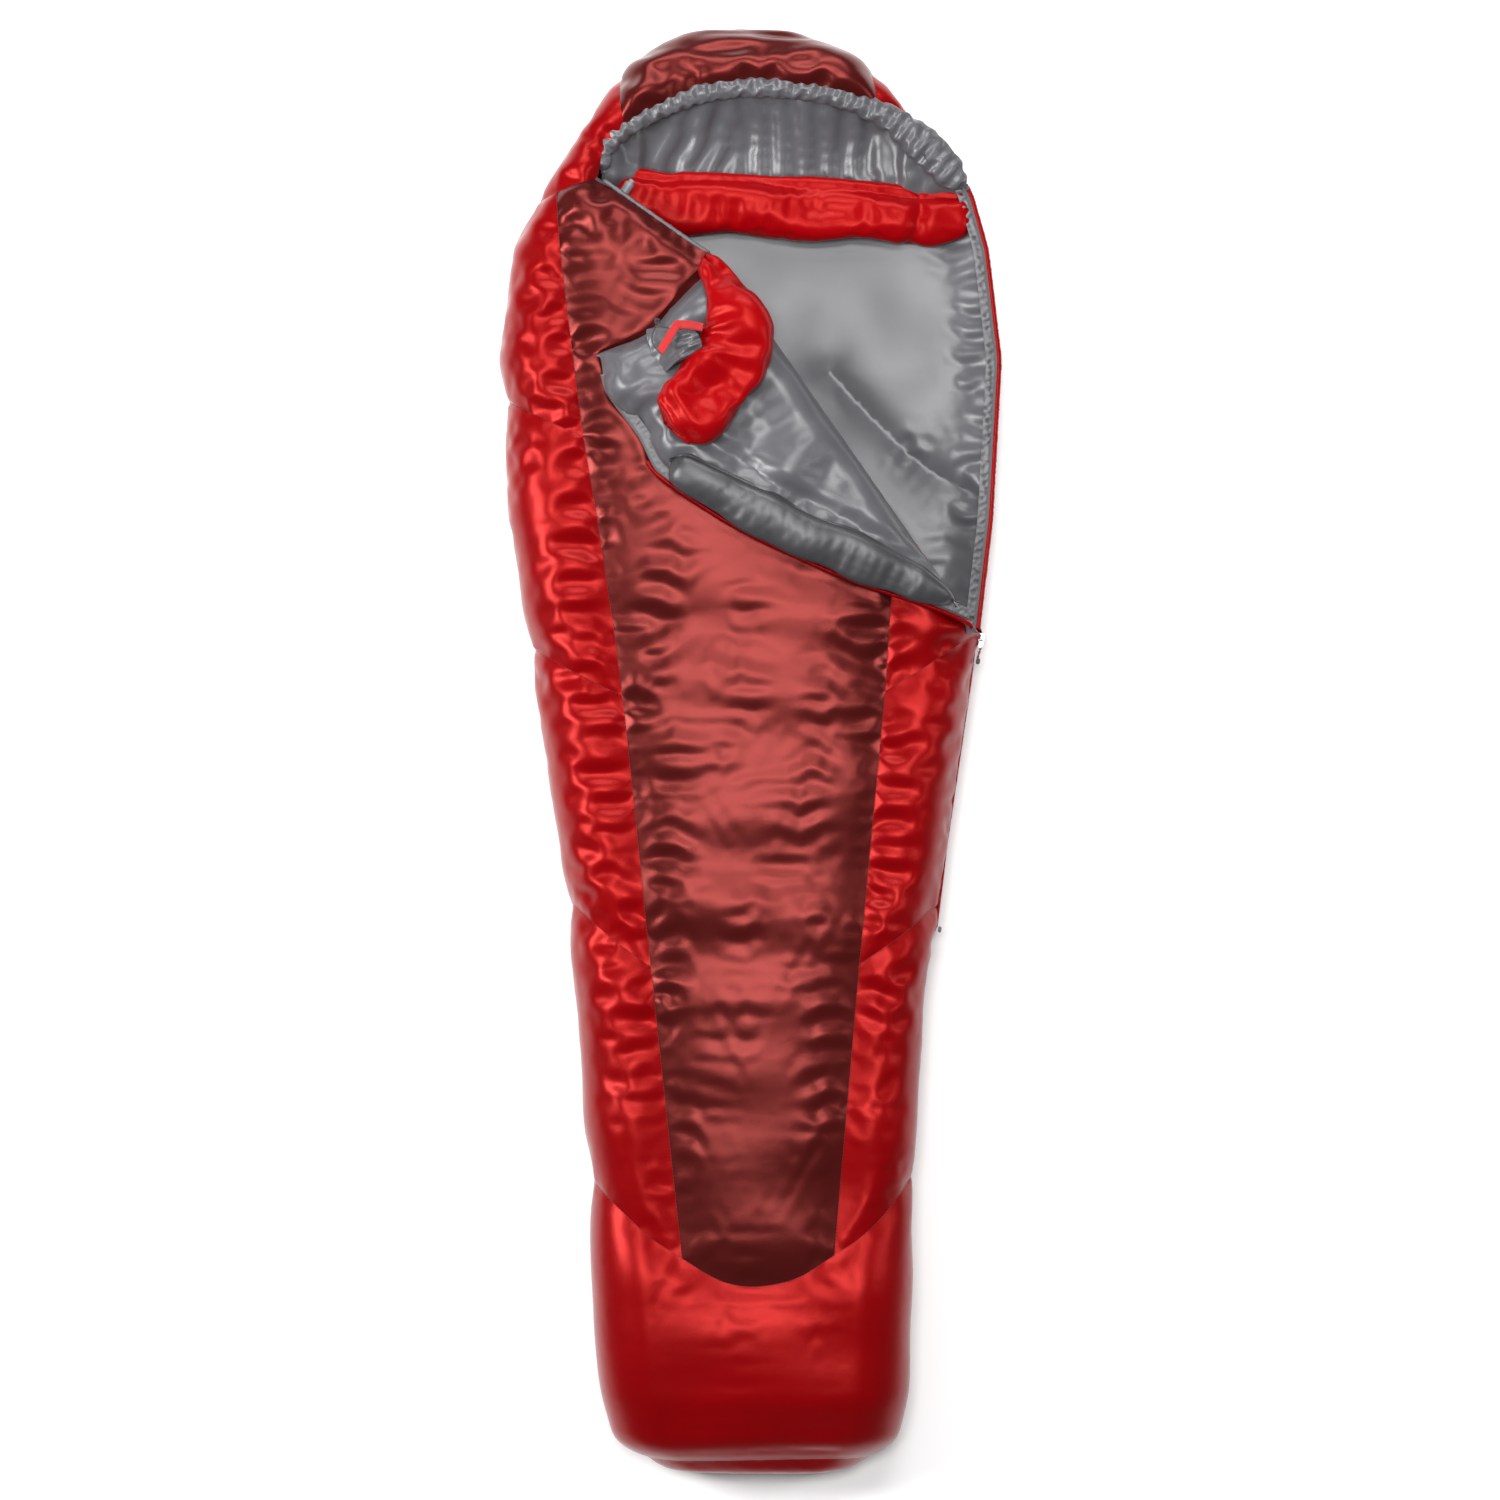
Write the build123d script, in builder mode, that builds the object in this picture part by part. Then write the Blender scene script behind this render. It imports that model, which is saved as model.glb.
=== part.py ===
from build123d import *

import math
import os

# Mummy sleeping bag, lying flat and part unzipped, in millimetres.
#
# +Y runs towards the head, +X towards the zip side and +Z up. The origin is on the ground, below the
# middle of the bag. The bag is one padded tube: an outer skin, an insulation layer and a lining, each
# cut into panels by the seams. The zip side is open down to the slider, and the free corner of the top
# layer lies folded back on the bag, hinged along a straight fold line.

os.makedirs("parts", exist_ok=True)

# ---------------------------------------------------------------- driving dimensions
LENGTH = 2150  # outer length, foot to crown
END_Y = LENGTH / 2
ZIP_Z = 75  # height of the zip line, half the chest height
WALL = 36  # outer face to inner face of the padded wall
SKIN = 2  # thickness standing for the shell cloth and for the lining cloth
PLY_GAP = 1  # clearance between cloth and insulation
SEAM_GAP = 1  # clearance between neighbouring panels
ZIP_GAP = 4  # slot that the closed zip tapes fill
UNDERSIDE_Z = 26  # the side panels meet the underside panel here
FAR = 450  # beyond the outline on either side
CROWN_Y = 1150  # beyond the crown

# Stations of the tube: (Y, middle X, half width, height).
STATIONS = [
    (-1075, 12, 118, 90),
    (-1052, 12, 172, 130),
    (-1018, 9, 210, 160),
    (-950, 7, 225, 182),
    (-844, 3, 232, 190),
    (-607, 4, 242, 172),
    (-370, 4, 259, 155),
    (-133, 5, 287, 150),
    (104, 4, 323, 150),
    (341, 0, 355, 150),
    (578, 0, 368, 150),
    (740, 0, 349, 150),
    (826, 6, 319, 146),
    (897, 6, 272, 140),
    (969, 0, 218, 132),
    (1022, -4, 177, 118),
    (1057, -3, 120, 88),
    (1075, -3, 70, 60),
]

# Seam lines in plan. The two long seams bound the dark centre panel; the V seam bounds the foot box.
LEFT_SEAM = [(-289, 822), (-244, 459), (-187, 79), (-145, -318), (-99, -741)]
RIGHT_SEAM = [(215, 342), (198, 86), (160, -314), (123, -736)]
FOOT_CENTRE = [(-99, -741), (-44, -773), (7, -782), (67, -770), (123, -736)]
FOOT_LEFT = [(-FAR, -494), (-240, -640), (-163, -699)]
FOOT_RIGHT = [(193, -689), (245, -632), (FAR, -480)]
FOOT_SEAM = FOOT_LEFT + FOOT_CENTRE + FOOT_RIGHT
# Where the short seams across the sides meet the outline, one for each corner of the long seam.
LEFT_CROSS = [(-FAR, 770), (-FAR, 552), (-FAR, 210), (-FAR, -98)]
RIGHT_CROSS = [(FAR, 170), (FAR, -106)]

# Neck and hood.
FOLD_TOP = (-50, 723)
FOLD_END = (335, 170)
NECK_EDGE = [(-225, 843), (-163, 800), (-89, 748)]
SHOULDER = [(-FAR, 770), (-289, 822), (FAR, 822)]
RIM_POINTS = [
    (-218, 850), (-213, 889), (-163, 930), (-74, 967), (15, 977), (118, 966), (198, 936), (262, 868),
]
RIM_Z = 108
RIM_RADIUS = 12
RIM_CLEARANCE = 13  # centre of the rim tube to the hood panels
RIM_STEPS = 14  # straight runs that stand for the rim's curve
BELOW_RIM = [(300, 700), (-260, 700)]  # the face opening ends below these corners
HOOD_LEFT_SEAM = [(-180, 880), (-215, CROWN_Y)]
HOOD_RIGHT_SEAM = [(190, 880), (205, CROWN_Y)]
HOOD_NECK_LEFT = (-240, 838)
HOOD_NECK_RIGHT = (300, 832)
HOOD_SIDE_Y = 832  # lower edge of the right hood panel at the outline
HOOD_INSIDE_LEFT, HOOD_INSIDE_RIGHT = (-200, 860), (220, 860)
HOOD_MIDDLE = (0, 900)
NECK_SEAM_Y = 822  # seam between body and hood on the side that lies down
FOOT_END_Y = -1050  # seam of the foot end
FOOT_WALL_Y = -700  # the foot section's insulation and lining start here
RIGHT_BASE_INNER = [(123, -640), (0, -640)]  # the base panel's corners by the foot seam

# Folded corner of the top layer. It turns on the fold line, midway between the two layers.
FOLD_Z = 151
FOLD_LENGTH = math.dist(FOLD_TOP, FOLD_END)
FOLD_DIRECTION = Vector(FOLD_END[0] - FOLD_TOP[0], FOLD_END[1] - FOLD_TOP[1], 0).normalized()
FLAP_Z = FOLD_Z + 1  # underside of the folded corner
FLAP_SEAM_END = (-203, 512)
ZIP_EDGE = [(318, 190), (266, 212), (148, 252), (15, 311), (-74, 363), (-133, 405), (-163, 459)]
FLAP_TIP = [(-207, 518), (-227, 581), (-155, 615), (-121, 649), (-89, 690)]
ROLL_CORE = 1  # radius left free at the middle of the fold

# Padded tubes: centre line, width and height.
BASE_COLLAR = [(-160, 816), (-60, 814), (60, 812), (160, 810), (234, 806)]
BASE_COLLAR_SIZE = (80, 56)
FLAP_COLLAR = [(-75, 665), (-32, 600), (-40, 535), (-95, 478)]
FLAP_COLLAR_SIZE = (84, 50)
DRAUGHT_TUBE = [(-78, 410), (-40, 381), (28, 344), (150, 292), (225, 262)]
DRAUGHT_TUBE_SIZE = (62, 24)

# Zip.
ZIP_TOP_Y = 850
ZIP_INNER_X = 150  # the tapes lie beyond this on the zip side
TAPE = 1.6
TAPE_INSET = 18
COIL = 3
FLAP_TAPE = (1, 13)  # distances of the corner's tape from its edge
FLAP_COIL = (14, 17)
FLAP_TAPE_DROP = 12  # the corner's tape lies this far below its lining face
SLIDER_X, SLIDER_Y = 341.7, 163
COIL_DEPTH = 5  # how far the slot in the slider reaches in from its inner edge
PIN_HEIGHT = 3  # pin centre above the slider's top face
PIN_RADIUS = 1
PIN_PLAY = 0.1
SLIDER_LENGTH, SLIDER_WIDTH, SLIDER_HEIGHT = 20, 11, 10
SLIDER_ROUNDING = 1.5
SLIDER_TAPER = 0.8  # tail width against nose width
SLIDER_ROOM = 13  # half the gap left in the tapes for the slider
LUG_LENGTH, LUG_WIDTH, LUG_OVER_PIN = 5, 1.6, 2
PIN_SHORT = 0.8  # each end of the pin stops this far inside the slider's face
ZIP_RUN = Vector(-56.6, -415, 0).normalized()  # along the closed zip, away from the head
STOP_POINT, STOP_SIZE, STOP_HALF_HEIGHT = (281, -266), (9, 5), 3
COIL_END_Y = -258
EYE_HALF_WIDTH, EYE_WALL, EYE_PLAY = 2, 1, 0.3
LINK_MIDDLE, LINK_SIZE, LINK_THICKNESS = 6, (12, 5), 1.6
LINK_HOLE_MIDDLE, LINK_HOLE_SIZE = 8, (3.4, 2)
PULLER_CORD_START, PULLER_CORD_END, PULLER_CORD_RADIUS = 13, 27, 1.2  # distances from the pin
GRIP_MIDDLE, GRIP_SIZE, GRIP_HEIGHT, GRIP_ROUNDING = 32, (9, 6), 5, 1.2

# Hood drawcord and its lock.
CORD = 3
CORD_CHANNEL = 10
LOCK_POINT = Vector(-181, 829, 106)
LOCK_AXIS = Vector(0.57, 0.82, 0).normalized()
LOCK_SIDE = LOCK_AXIS.cross(Vector(0, 0, 1))
LOCK_RADIUS, LOCK_LENGTH, LOCK_FLOOR = 7, 16, 2
PLUNGER_RADIUS, PLUNGER_LENGTH, PLUNGER_PLAY, PLUNGER_ROUNDING = 4.7, 15, 0.4, 1.5
LOCK_TRAVEL = 4
SPRING_ROOM = LOCK_TRAVEL + 1  # lock floor to plunger while the spring is at rest
CORD_PLAY = 0.5  # room round a cord in its hole
SPRING_RADIUS, SPRING_WIRE, SPRING_PITCH = 3.4, 0.6, 1.3

# Tab on the collar, with its webbing puller and cord.
TAB_CENTRE, TAB_SIZE, TAB_Z, TAB_ROUNDING = (-77, 581), (42, 40), 242, 2
WEBBING_TOP, WEBBING_END, WEBBING_WIDTH, WEBBING_Z = (-86, 622), (-127, 575), 10, 245
FLAT_THICKNESS = 1.5  # tab and webbing
LOOP_ROUTE = [(-129, 572, 248), (-139, 580, 248), (-143, 596, 248), (-135, 612, 248)]
LOOP_CORD = 2
BEND_SHARE = 0.45  # share of the shorter run that each bend of the loop uses
KNOT_CENTRE, KNOT_RADIUS, KNOT_HOLE = (-133.5, 617.5, 248), 3.6, 3

# Binding along the neck edge.
BINDING_SHIFT = (2, 3)
BINDING_END = (FOLD_TOP[0] - 2, FOLD_TOP[1] + 5)
BINDING_HALF_WIDTH, BINDING_LOW, BINDING_HIGH = 1.5, 120, 148


def finish(part, name):
    """Labels one piece and writes it as its own file."""
    part.label = name
    export_step(part, f"parts/{name}.step")
    return part


def tube(inset):
    """The whole tube as one closed solid, with its surface moved in by inset and its base flat."""
    shrink = (END_Y - inset) / END_Y
    with BuildPart() as body:
        for y, middle, half_width, height in STATIONS:
            tall = height + 1 - 2 * inset
            with BuildSketch(Plane.XZ.offset(-y * shrink)):
                with Locations((middle, (height - 1) / 2)):
                    SlotOverall(2 * (half_width - inset), max(tall, 4))
        loft(ruled=True)
        with Locations((0, 0, inset)):
            Box(4 * FAR, 2 * LENGTH, 2 * FAR, align=(Align.CENTER, Align.CENTER, Align.MIN),
                mode=Mode.INTERSECT)
    return body.part


def layer(outer, inner):
    """The wall between two tubes, one inside the other."""
    with BuildPart() as wall:
        add(outer)
        add(inner, mode=Mode.SUBTRACT)
    return wall.part


def cut(name, wall, outline, low, high, gap=SEAM_GAP, opening=False):
    """The piece of a wall inside a plan outline and between two heights, with room for its seams.

    With opening, the piece also stops short of the rim tube round the face.
    """
    with BuildPart() as piece:
        add(wall)
        with BuildSketch(Plane.XY.offset(low)) as plan:
            with BuildLine():
                Polyline(*outline, close=True)
            make_face()
            offset(amount=-gap / 2, kind=Kind.INTERSECTION)
        extrude(amount=high - low, mode=Mode.INTERSECT)
        if opening:
            with BuildSketch(Plane.XY.offset(low)):
                with BuildLine():
                    rim = Spline(*rim_offset(RIM_CLEARANCE))
                    Polyline(rim @ 1, *BELOW_RIM, rim @ 0)
                make_face()
            extrude(amount=high - low, mode=Mode.SUBTRACT)
    return finish(piece.part, name)


def padded_tube(name, points, size, z):
    """A soft tube with an oval section, laid along a curve at one height."""
    with BuildPart() as soft:
        with BuildLine():
            run = Spline(*[(x, y, z) for x, y in points])
        with BuildSketch(Plane(run @ 0, z_dir=run % 0, x_dir=(run % 0).cross(Vector(0, 0, 1)))):
            Ellipse(size[0] / 2, size[1] / 2)
        sweep()
    return finish(soft.part, name)


def edge_strip(name, points, near, far, low, high):
    """A strip beside an open line in plan, between two distances to its left."""
    with BuildPart() as strip:
        with BuildSketch(Plane.XY.offset(low)):
            with BuildLine():
                Polyline(*offset_line(points, (near + far) / 2))
            trace(line_width=far - near)
        extrude(amount=high - low)
    return finish(strip.part, name)


def offset_line(points, distance):
    """An open line moved to its left by distance, corner by corner."""
    moved = []
    for i, (x, y) in enumerate(points):
        before, after = points[max(i - 1, 0)], points[min(i + 1, len(points) - 1)]
        along = Vector(after[0] - before[0], after[1] - before[1]).normalized()
        moved.append((x - along.Y * distance, y + along.X * distance))
    return moved


def rod(name, radius, start, end, bore=0):
    """A round rod or sleeve between two points."""
    axis = Vector(*end) - Vector(*start)
    with BuildPart() as body:
        with BuildSketch(Plane(start, z_dir=axis)):
            Circle(radius)
            if bore:
                Circle(bore, mode=Mode.SUBTRACT)
        extrude(amount=axis.length)
    return finish(body.part, name)


def rim_offset(distance):
    """The rim line moved outwards, away from the face opening."""
    with BuildLine(mode=Mode.PRIVATE) as line:
        rim = Spline(*RIM_POINTS)
    steps = [i / RIM_STEPS for i in range(RIM_STEPS + 1)]
    return [
        ((rim @ t).X - (rim % t).Y * distance, (rim @ t).Y + (rim % t).X * distance) for t in steps
    ]


skin = layer(tube(0), tube(SKIN))
padding = layer(tube(SKIN + PLY_GAP), tube(WALL - SKIN - PLY_GAP))
lining = layer(tube(WALL - SKIN), tube(WALL))

# ---------------------------------------------------------------- outer shell panels
top = 2 * FAR
above_zip = ZIP_Z + ZIP_GAP / 2
below_zip = ZIP_Z - ZIP_GAP / 2
hood_low = below_zip + SEAM_GAP
centre = [LEFT_SEAM[0], *NECK_EDGE, FOLD_TOP, *RIGHT_SEAM, *reversed(FOOT_CENTRE[1:-1])]
centre += reversed(LEFT_SEAM[1:])
cut("top_centre_panel", skin, centre, ZIP_Z, top)

left_edges = [*LEFT_CROSS, *FOOT_LEFT]
for number in range(4):
    outer_edge = [LEFT_CROSS[number], *(left_edges[4:] if number == 3 else [LEFT_CROSS[number + 1]])]
    side = [*outer_edge, LEFT_SEAM[number + 1], LEFT_SEAM[number]]
    cut(f"left_side_panel_{number + 1}", skin, side, UNDERSIDE_Z, top)

right_sides = [
    [RIGHT_SEAM[0], FOLD_END, RIGHT_SEAM[1]],
    [RIGHT_SEAM[1], FOLD_END, RIGHT_CROSS[0], RIGHT_CROSS[1], RIGHT_SEAM[2]],
    [RIGHT_SEAM[2], RIGHT_CROSS[1], *reversed(FOOT_RIGHT), RIGHT_SEAM[3]],
]
for number, side in enumerate(right_sides, start=1):
    cut(f"right_side_panel_{number}", skin, side, above_zip, top)

right_base = [(0, NECK_SEAM_Y), (FAR, NECK_SEAM_Y), *reversed(FOOT_RIGHT), *RIGHT_BASE_INNER]
cut("right_base_panel", skin, right_base, UNDERSIDE_Z, below_zip)
whole_plan = [(-FAR, CROWN_Y), (FAR, CROWN_Y), (FAR, -CROWN_Y), (-FAR, -CROWN_Y)]
cut("underside_panel", skin, whole_plan, 0, UNDERSIDE_Z - SEAM_GAP)
cut("foot_box_panel", skin, [*FOOT_SEAM, (FAR, FOOT_END_Y), (-FAR, FOOT_END_Y)], UNDERSIDE_Z, top)
foot_end = [(-FAR, FOOT_END_Y), (FAR, FOOT_END_Y), (FAR, -CROWN_Y), (-FAR, -CROWN_Y)]
cut("foot_end_panel", skin, foot_end, UNDERSIDE_Z, top)

hood_back = [*SHOULDER, (FAR, CROWN_Y), (-FAR, CROWN_Y)]
hood_left = [*SHOULDER[:2], HOOD_NECK_LEFT, HOOD_INSIDE_LEFT, *HOOD_LEFT_SEAM, (-FAR, CROWN_Y)]
hood_top = [*reversed(HOOD_LEFT_SEAM), *HOOD_RIGHT_SEAM]
hood_right = [
    *reversed(HOOD_RIGHT_SEAM), HOOD_INSIDE_RIGHT, HOOD_NECK_RIGHT, (FAR, HOOD_SIDE_Y), (FAR, CROWN_Y),
]
cut("hood_left_panel", skin, hood_left, hood_low, top, opening=True)
cut("hood_top_panel", skin, hood_top, hood_low, top, opening=True)
cut("hood_right_panel", skin, hood_right, above_zip, top, opening=True)
cut("hood_back_panel", skin, hood_back, UNDERSIDE_Z, below_zip)

# ---------------------------------------------------------------- insulation and lining
body_plan = [(-FAR, CROWN_Y), (FAR, CROWN_Y), (FAR, FOOT_WALL_Y), (-FAR, FOOT_WALL_Y)]
foot_plan = [(-FAR, FOOT_WALL_Y), (FAR, FOOT_WALL_Y), (FAR, -CROWN_Y), (-FAR, -CROWN_Y)]
torso_plan = [*SHOULDER, (FAR, FOOT_WALL_Y), (-FAR, FOOT_WALL_Y)]
top_plan = [*SHOULDER[:2], *NECK_EDGE, FOLD_TOP, FOLD_END, RIGHT_CROSS[0]]
top_plan += [(FAR, FOOT_WALL_Y), (-FAR, FOOT_WALL_Y)]
hood_plan = [*SHOULDER[:2], HOOD_NECK_LEFT, HOOD_MIDDLE, HOOD_NECK_RIGHT]
hood_plan += [(FAR, HOOD_SIDE_Y), (FAR, CROWN_Y), (-FAR, CROWN_Y)]
cut("base_insulation", padding, body_plan, 0, below_zip)
cut("top_insulation", padding, top_plan, above_zip, top)
cut("foot_insulation_base", padding, foot_plan, 0, ZIP_Z - SEAM_GAP / 2)
cut("foot_insulation_top", padding, foot_plan, ZIP_Z + SEAM_GAP / 2, top)
cut("hood_insulation", padding, hood_plan, above_zip, top, opening=True)
cut("base_lining", lining, torso_plan, 0, below_zip)
cut("top_lining", lining, top_plan, above_zip, top)
cut("foot_lining", lining, foot_plan, 0, top)
cut("hood_lining", lining, hood_plan, above_zip, top, opening=True)
cut("hood_back_lining", lining, hood_back, 0, below_zip)

# ---------------------------------------------------------------- zip on the base side
tape_ring = layer(tube(SKIN + PLY_GAP), tube(TAPE_INSET))
coil_ring = layer(tube(-COIL), tube(0))
zip_runs = {"base": (ZIP_TOP_Y, SLIDER_Y + SLIDER_ROOM), "closed": (SLIDER_Y - SLIDER_ROOM, COIL_END_Y)}
for name, (head, foot) in zip_runs.items():
    plan = [(ZIP_INNER_X, head), (FAR, head), (FAR, foot), (ZIP_INNER_X, foot)]
    cut(f"zip_tape_{name}", tape_ring, plan, ZIP_Z - TAPE / 2, ZIP_Z + TAPE / 2, gap=0)
    cut(f"zip_coil_{name}", coil_ring, plan, ZIP_Z - COIL / 2, ZIP_Z + COIL / 2, gap=0)

with BuildPart() as stop:
    with BuildSketch(Plane((*STOP_POINT, ZIP_Z), x_dir=ZIP_RUN, z_dir=(0, 0, 1))):
        SlotOverall(*STOP_SIZE)
    extrude(amount=STOP_HALF_HEIGHT, both=True)
finish(stop.part, "zip_bottom_stop")

# ---------------------------------------------------------------- slider and puller
# The slider plane's X runs down the zip and its Y points out from the bag.
slider_plane = Plane((SLIDER_X, SLIDER_Y, ZIP_Z), x_dir=ZIP_RUN, z_dir=(0, 0, 1))
half_long, half_wide = SLIDER_LENGTH / 2, SLIDER_WIDTH / 2
with BuildPart() as slider:
    with BuildSketch(slider_plane.offset(-SLIDER_HEIGHT / 2)):
        with BuildLine():
            Polyline((-half_long, -half_wide), (half_long, -half_wide * SLIDER_TAPER),
                     (half_long, half_wide * SLIDER_TAPER), (-half_long, half_wide), close=True)
        make_face()
    extrude(amount=SLIDER_HEIGHT)
    fillet(slider.edges().filter_by(Axis.Z), SLIDER_ROUNDING)
    with BuildSketch(slider_plane.offset(-ZIP_GAP / 2)):
        with Locations((0, -half_wide)):
            Rectangle(2 * SLIDER_LENGTH, 2 * COIL_DEPTH)
    extrude(amount=ZIP_GAP, mode=Mode.SUBTRACT)
finish(slider.part, "slider_body")

# Two lugs on the slider's top face hold the pin that the puller swings on.
lug_foot = slider_plane.offset(SLIDER_HEIGHT / 2)
pin_centre = lug_foot.offset(PIN_HEIGHT).origin
side = slider_plane.y_dir
pin_reach = side * (half_wide - PIN_SHORT)
with BuildPart() as lugs:
    with BuildSketch(lug_foot):
        with Locations((0, half_wide - LUG_WIDTH), (0, LUG_WIDTH - half_wide)):
            Rectangle(LUG_LENGTH, LUG_WIDTH)
    extrude(amount=PIN_HEIGHT + LUG_OVER_PIN)
    with BuildSketch(Plane(pin_centre - pin_reach, z_dir=side)):
        Circle(PIN_RADIUS + PIN_PLAY)
    extrude(amount=2 * pin_reach.length, mode=Mode.SUBTRACT)
finish(lugs.part, "slider_lugs")
rod("slider_pin", PIN_RADIUS, pin_centre - pin_reach, pin_centre + pin_reach)

puller_plane = lug_foot.offset(PIN_HEIGHT)
eye_half = side * EYE_HALF_WIDTH
with BuildPart() as link:
    with BuildSketch(Plane(pin_centre - eye_half, z_dir=side)):
        Circle(PIN_RADIUS + EYE_WALL)
    extrude(amount=2 * eye_half.length)
    with BuildSketch(puller_plane.offset(-LINK_THICKNESS / 2)):
        with Locations((LINK_MIDDLE, 0)):
            SlotOverall(*LINK_SIZE)
        with Locations((LINK_HOLE_MIDDLE, 0)):
            SlotOverall(*LINK_HOLE_SIZE, rotation=90, mode=Mode.SUBTRACT)
    extrude(amount=LINK_THICKNESS)
    with BuildSketch(Plane(pin_centre - eye_half * 2, z_dir=side)):
        Circle(PIN_RADIUS + EYE_PLAY)
    extrude(amount=4 * eye_half.length, mode=Mode.SUBTRACT)
finish(link.part, "puller_link")
grip_plane = Plane(puller_plane.origin, x_dir=ZIP_RUN, z_dir=(0, 0, 1))
cord_start = grip_plane.from_local_coords((PULLER_CORD_START, 0, 0))
cord_end = grip_plane.from_local_coords((PULLER_CORD_END, 0, 0))
rod("puller_cord", PULLER_CORD_RADIUS, cord_start, cord_end)
with BuildPart() as grip:
    with BuildSketch(grip_plane.offset(-GRIP_HEIGHT / 2)):
        with Locations((GRIP_MIDDLE, 0)):
            SlotOverall(*GRIP_SIZE)
    extrude(amount=GRIP_HEIGHT)
    fillet(grip.faces().filter_by(Axis.Z).edges(), GRIP_ROUNDING)
finish(grip.part, "puller_grip")

# ---------------------------------------------------------------- hood rim, drawcord and lock
with BuildPart() as rim:
    with BuildLine():
        rim_line = Spline(*[(x, y, RIM_Z) for x, y in RIM_POINTS])
    with BuildSketch(Plane(rim_line @ 0, z_dir=rim_line % 0)):
        Circle(RIM_RADIUS)
        Circle(CORD_CHANNEL / 2, mode=Mode.SUBTRACT)
    sweep()
finish(rim.part, "hood_rim_tube")
with BuildPart() as drawcord:
    with BuildLine():
        cord_line = Spline(*[(x, y, RIM_Z) for x, y in RIM_POINTS])
    with BuildSketch(Plane(cord_line @ 0, z_dir=cord_line % 0)):
        Circle(CORD / 2)
    sweep()
finish(drawcord.part, "hood_drawcord")

lock_start = LOCK_POINT - LOCK_AXIS * (LOCK_LENGTH / 2)
lock_end = LOCK_POINT + LOCK_AXIS * (LOCK_LENGTH / 2)
with BuildPart() as lock:
    with BuildSketch(Plane(lock_start, z_dir=LOCK_AXIS)):
        Circle(LOCK_RADIUS)
    extrude(amount=LOCK_LENGTH)
    with BuildSketch(Plane(lock_start + LOCK_AXIS * LOCK_FLOOR, z_dir=LOCK_AXIS)):
        Circle(PLUNGER_RADIUS + PLUNGER_PLAY)
    extrude(amount=LOCK_LENGTH, mode=Mode.SUBTRACT)
    with BuildSketch(Plane(LOCK_POINT, z_dir=LOCK_SIDE)):
        Circle(CORD / 2 + CORD_PLAY)
    extrude(amount=2 * LOCK_RADIUS, both=True, mode=Mode.SUBTRACT)
finish(lock.part, "cord_lock_body")
plunger_start = lock_start + LOCK_AXIS * (LOCK_FLOOR + SPRING_ROOM)
with BuildPart() as plunger:
    with BuildSketch(Plane(plunger_start, z_dir=LOCK_AXIS)):
        Circle(PLUNGER_RADIUS)
    extrude(amount=PLUNGER_LENGTH)
    with BuildSketch(Plane(LOCK_POINT + LOCK_AXIS * LOCK_TRAVEL, z_dir=LOCK_SIDE)):
        Circle(CORD / 2 + CORD_PLAY)
    extrude(amount=2 * LOCK_RADIUS, both=True, mode=Mode.SUBTRACT)
    fillet(plunger.faces().sort_by(Axis((0, 0, 0), LOCK_AXIS))[-1].edges(), PLUNGER_ROUNDING)
finish(plunger.part, "cord_lock_plunger")

spring_start = lock_start + LOCK_AXIS * (LOCK_FLOOR + SPRING_WIRE)
with BuildPart() as spring:
    with BuildLine():
        coil_line = Helix(SPRING_PITCH, LOCK_TRAVEL, SPRING_RADIUS, center=spring_start,
                          direction=LOCK_AXIS)
    with BuildSketch(Plane(coil_line @ 0, z_dir=coil_line % 0)):
        Circle(SPRING_WIRE / 2)
    sweep(is_frenet=True)
finish(spring.part, "cord_lock_spring")

binding = [(x + BINDING_SHIFT[0], y + BINDING_SHIFT[1]) for x, y in NECK_EDGE] + [BINDING_END]
edge_strip("neck_binding", binding, -BINDING_HALF_WIDTH, BINDING_HALF_WIDTH, BINDING_LOW, BINDING_HIGH)

# ---------------------------------------------------------------- padded tubes inside
collar_z = WALL + 2 * PLY_GAP + BASE_COLLAR_SIZE[1] / 2
padded_tube("base_draught_collar", BASE_COLLAR, BASE_COLLAR_SIZE, collar_z)

# ---------------------------------------------------------------- fold roll
fold_out = Vector(0, 0, 1).cross(FOLD_DIRECTION)
roll_layers = {
    "fold_shell": (ROLL_CORE, ROLL_CORE + SKIN),
    "fold_insulation": (ROLL_CORE + SKIN + PLY_GAP, WALL - SKIN),
    "fold_lining": (WALL - SKIN / 2, WALL + SKIN / 2),
}
for name, (inner, outer) in roll_layers.items():
    with BuildPart() as roll:
        with BuildSketch(Plane((*FOLD_TOP, FOLD_Z), x_dir=fold_out, z_dir=FOLD_DIRECTION)):
            Circle(outer)
            Circle(inner, mode=Mode.SUBTRACT)
            with Locations((SEAM_GAP / 2, 0)):
                Rectangle(outer, 2 * outer, align=(Align.MIN, Align.CENTER), mode=Mode.INTERSECT)
        extrude(amount=FOLD_LENGTH)
    finish(roll.part, name)

# ---------------------------------------------------------------- folded corner
centre_flap = [FOLD_TOP, RIGHT_SEAM[0], FLAP_SEAM_END, *FLAP_TIP]
side_flap = [RIGHT_SEAM[0], *ZIP_EDGE, FLAP_SEAM_END]
whole_flap = [FOLD_TOP, *ZIP_EDGE, *FLAP_TIP]


def flap_slab(name, outline, low, high, rounding=0):
    """One flat layer of the folded corner."""
    with BuildPart() as slab:
        with BuildSketch(Plane.XY.offset(low)):
            with BuildLine():
                Polyline(*outline, close=True)
            make_face()
            offset(amount=-SEAM_GAP / 2, kind=Kind.INTERSECTION)
        extrude(amount=high - low)
        if rounding:
            chamfer(slab.faces().sort_by(Axis.Z)[-1].edges(), rounding)
    return finish(slab.part, name)


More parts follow.
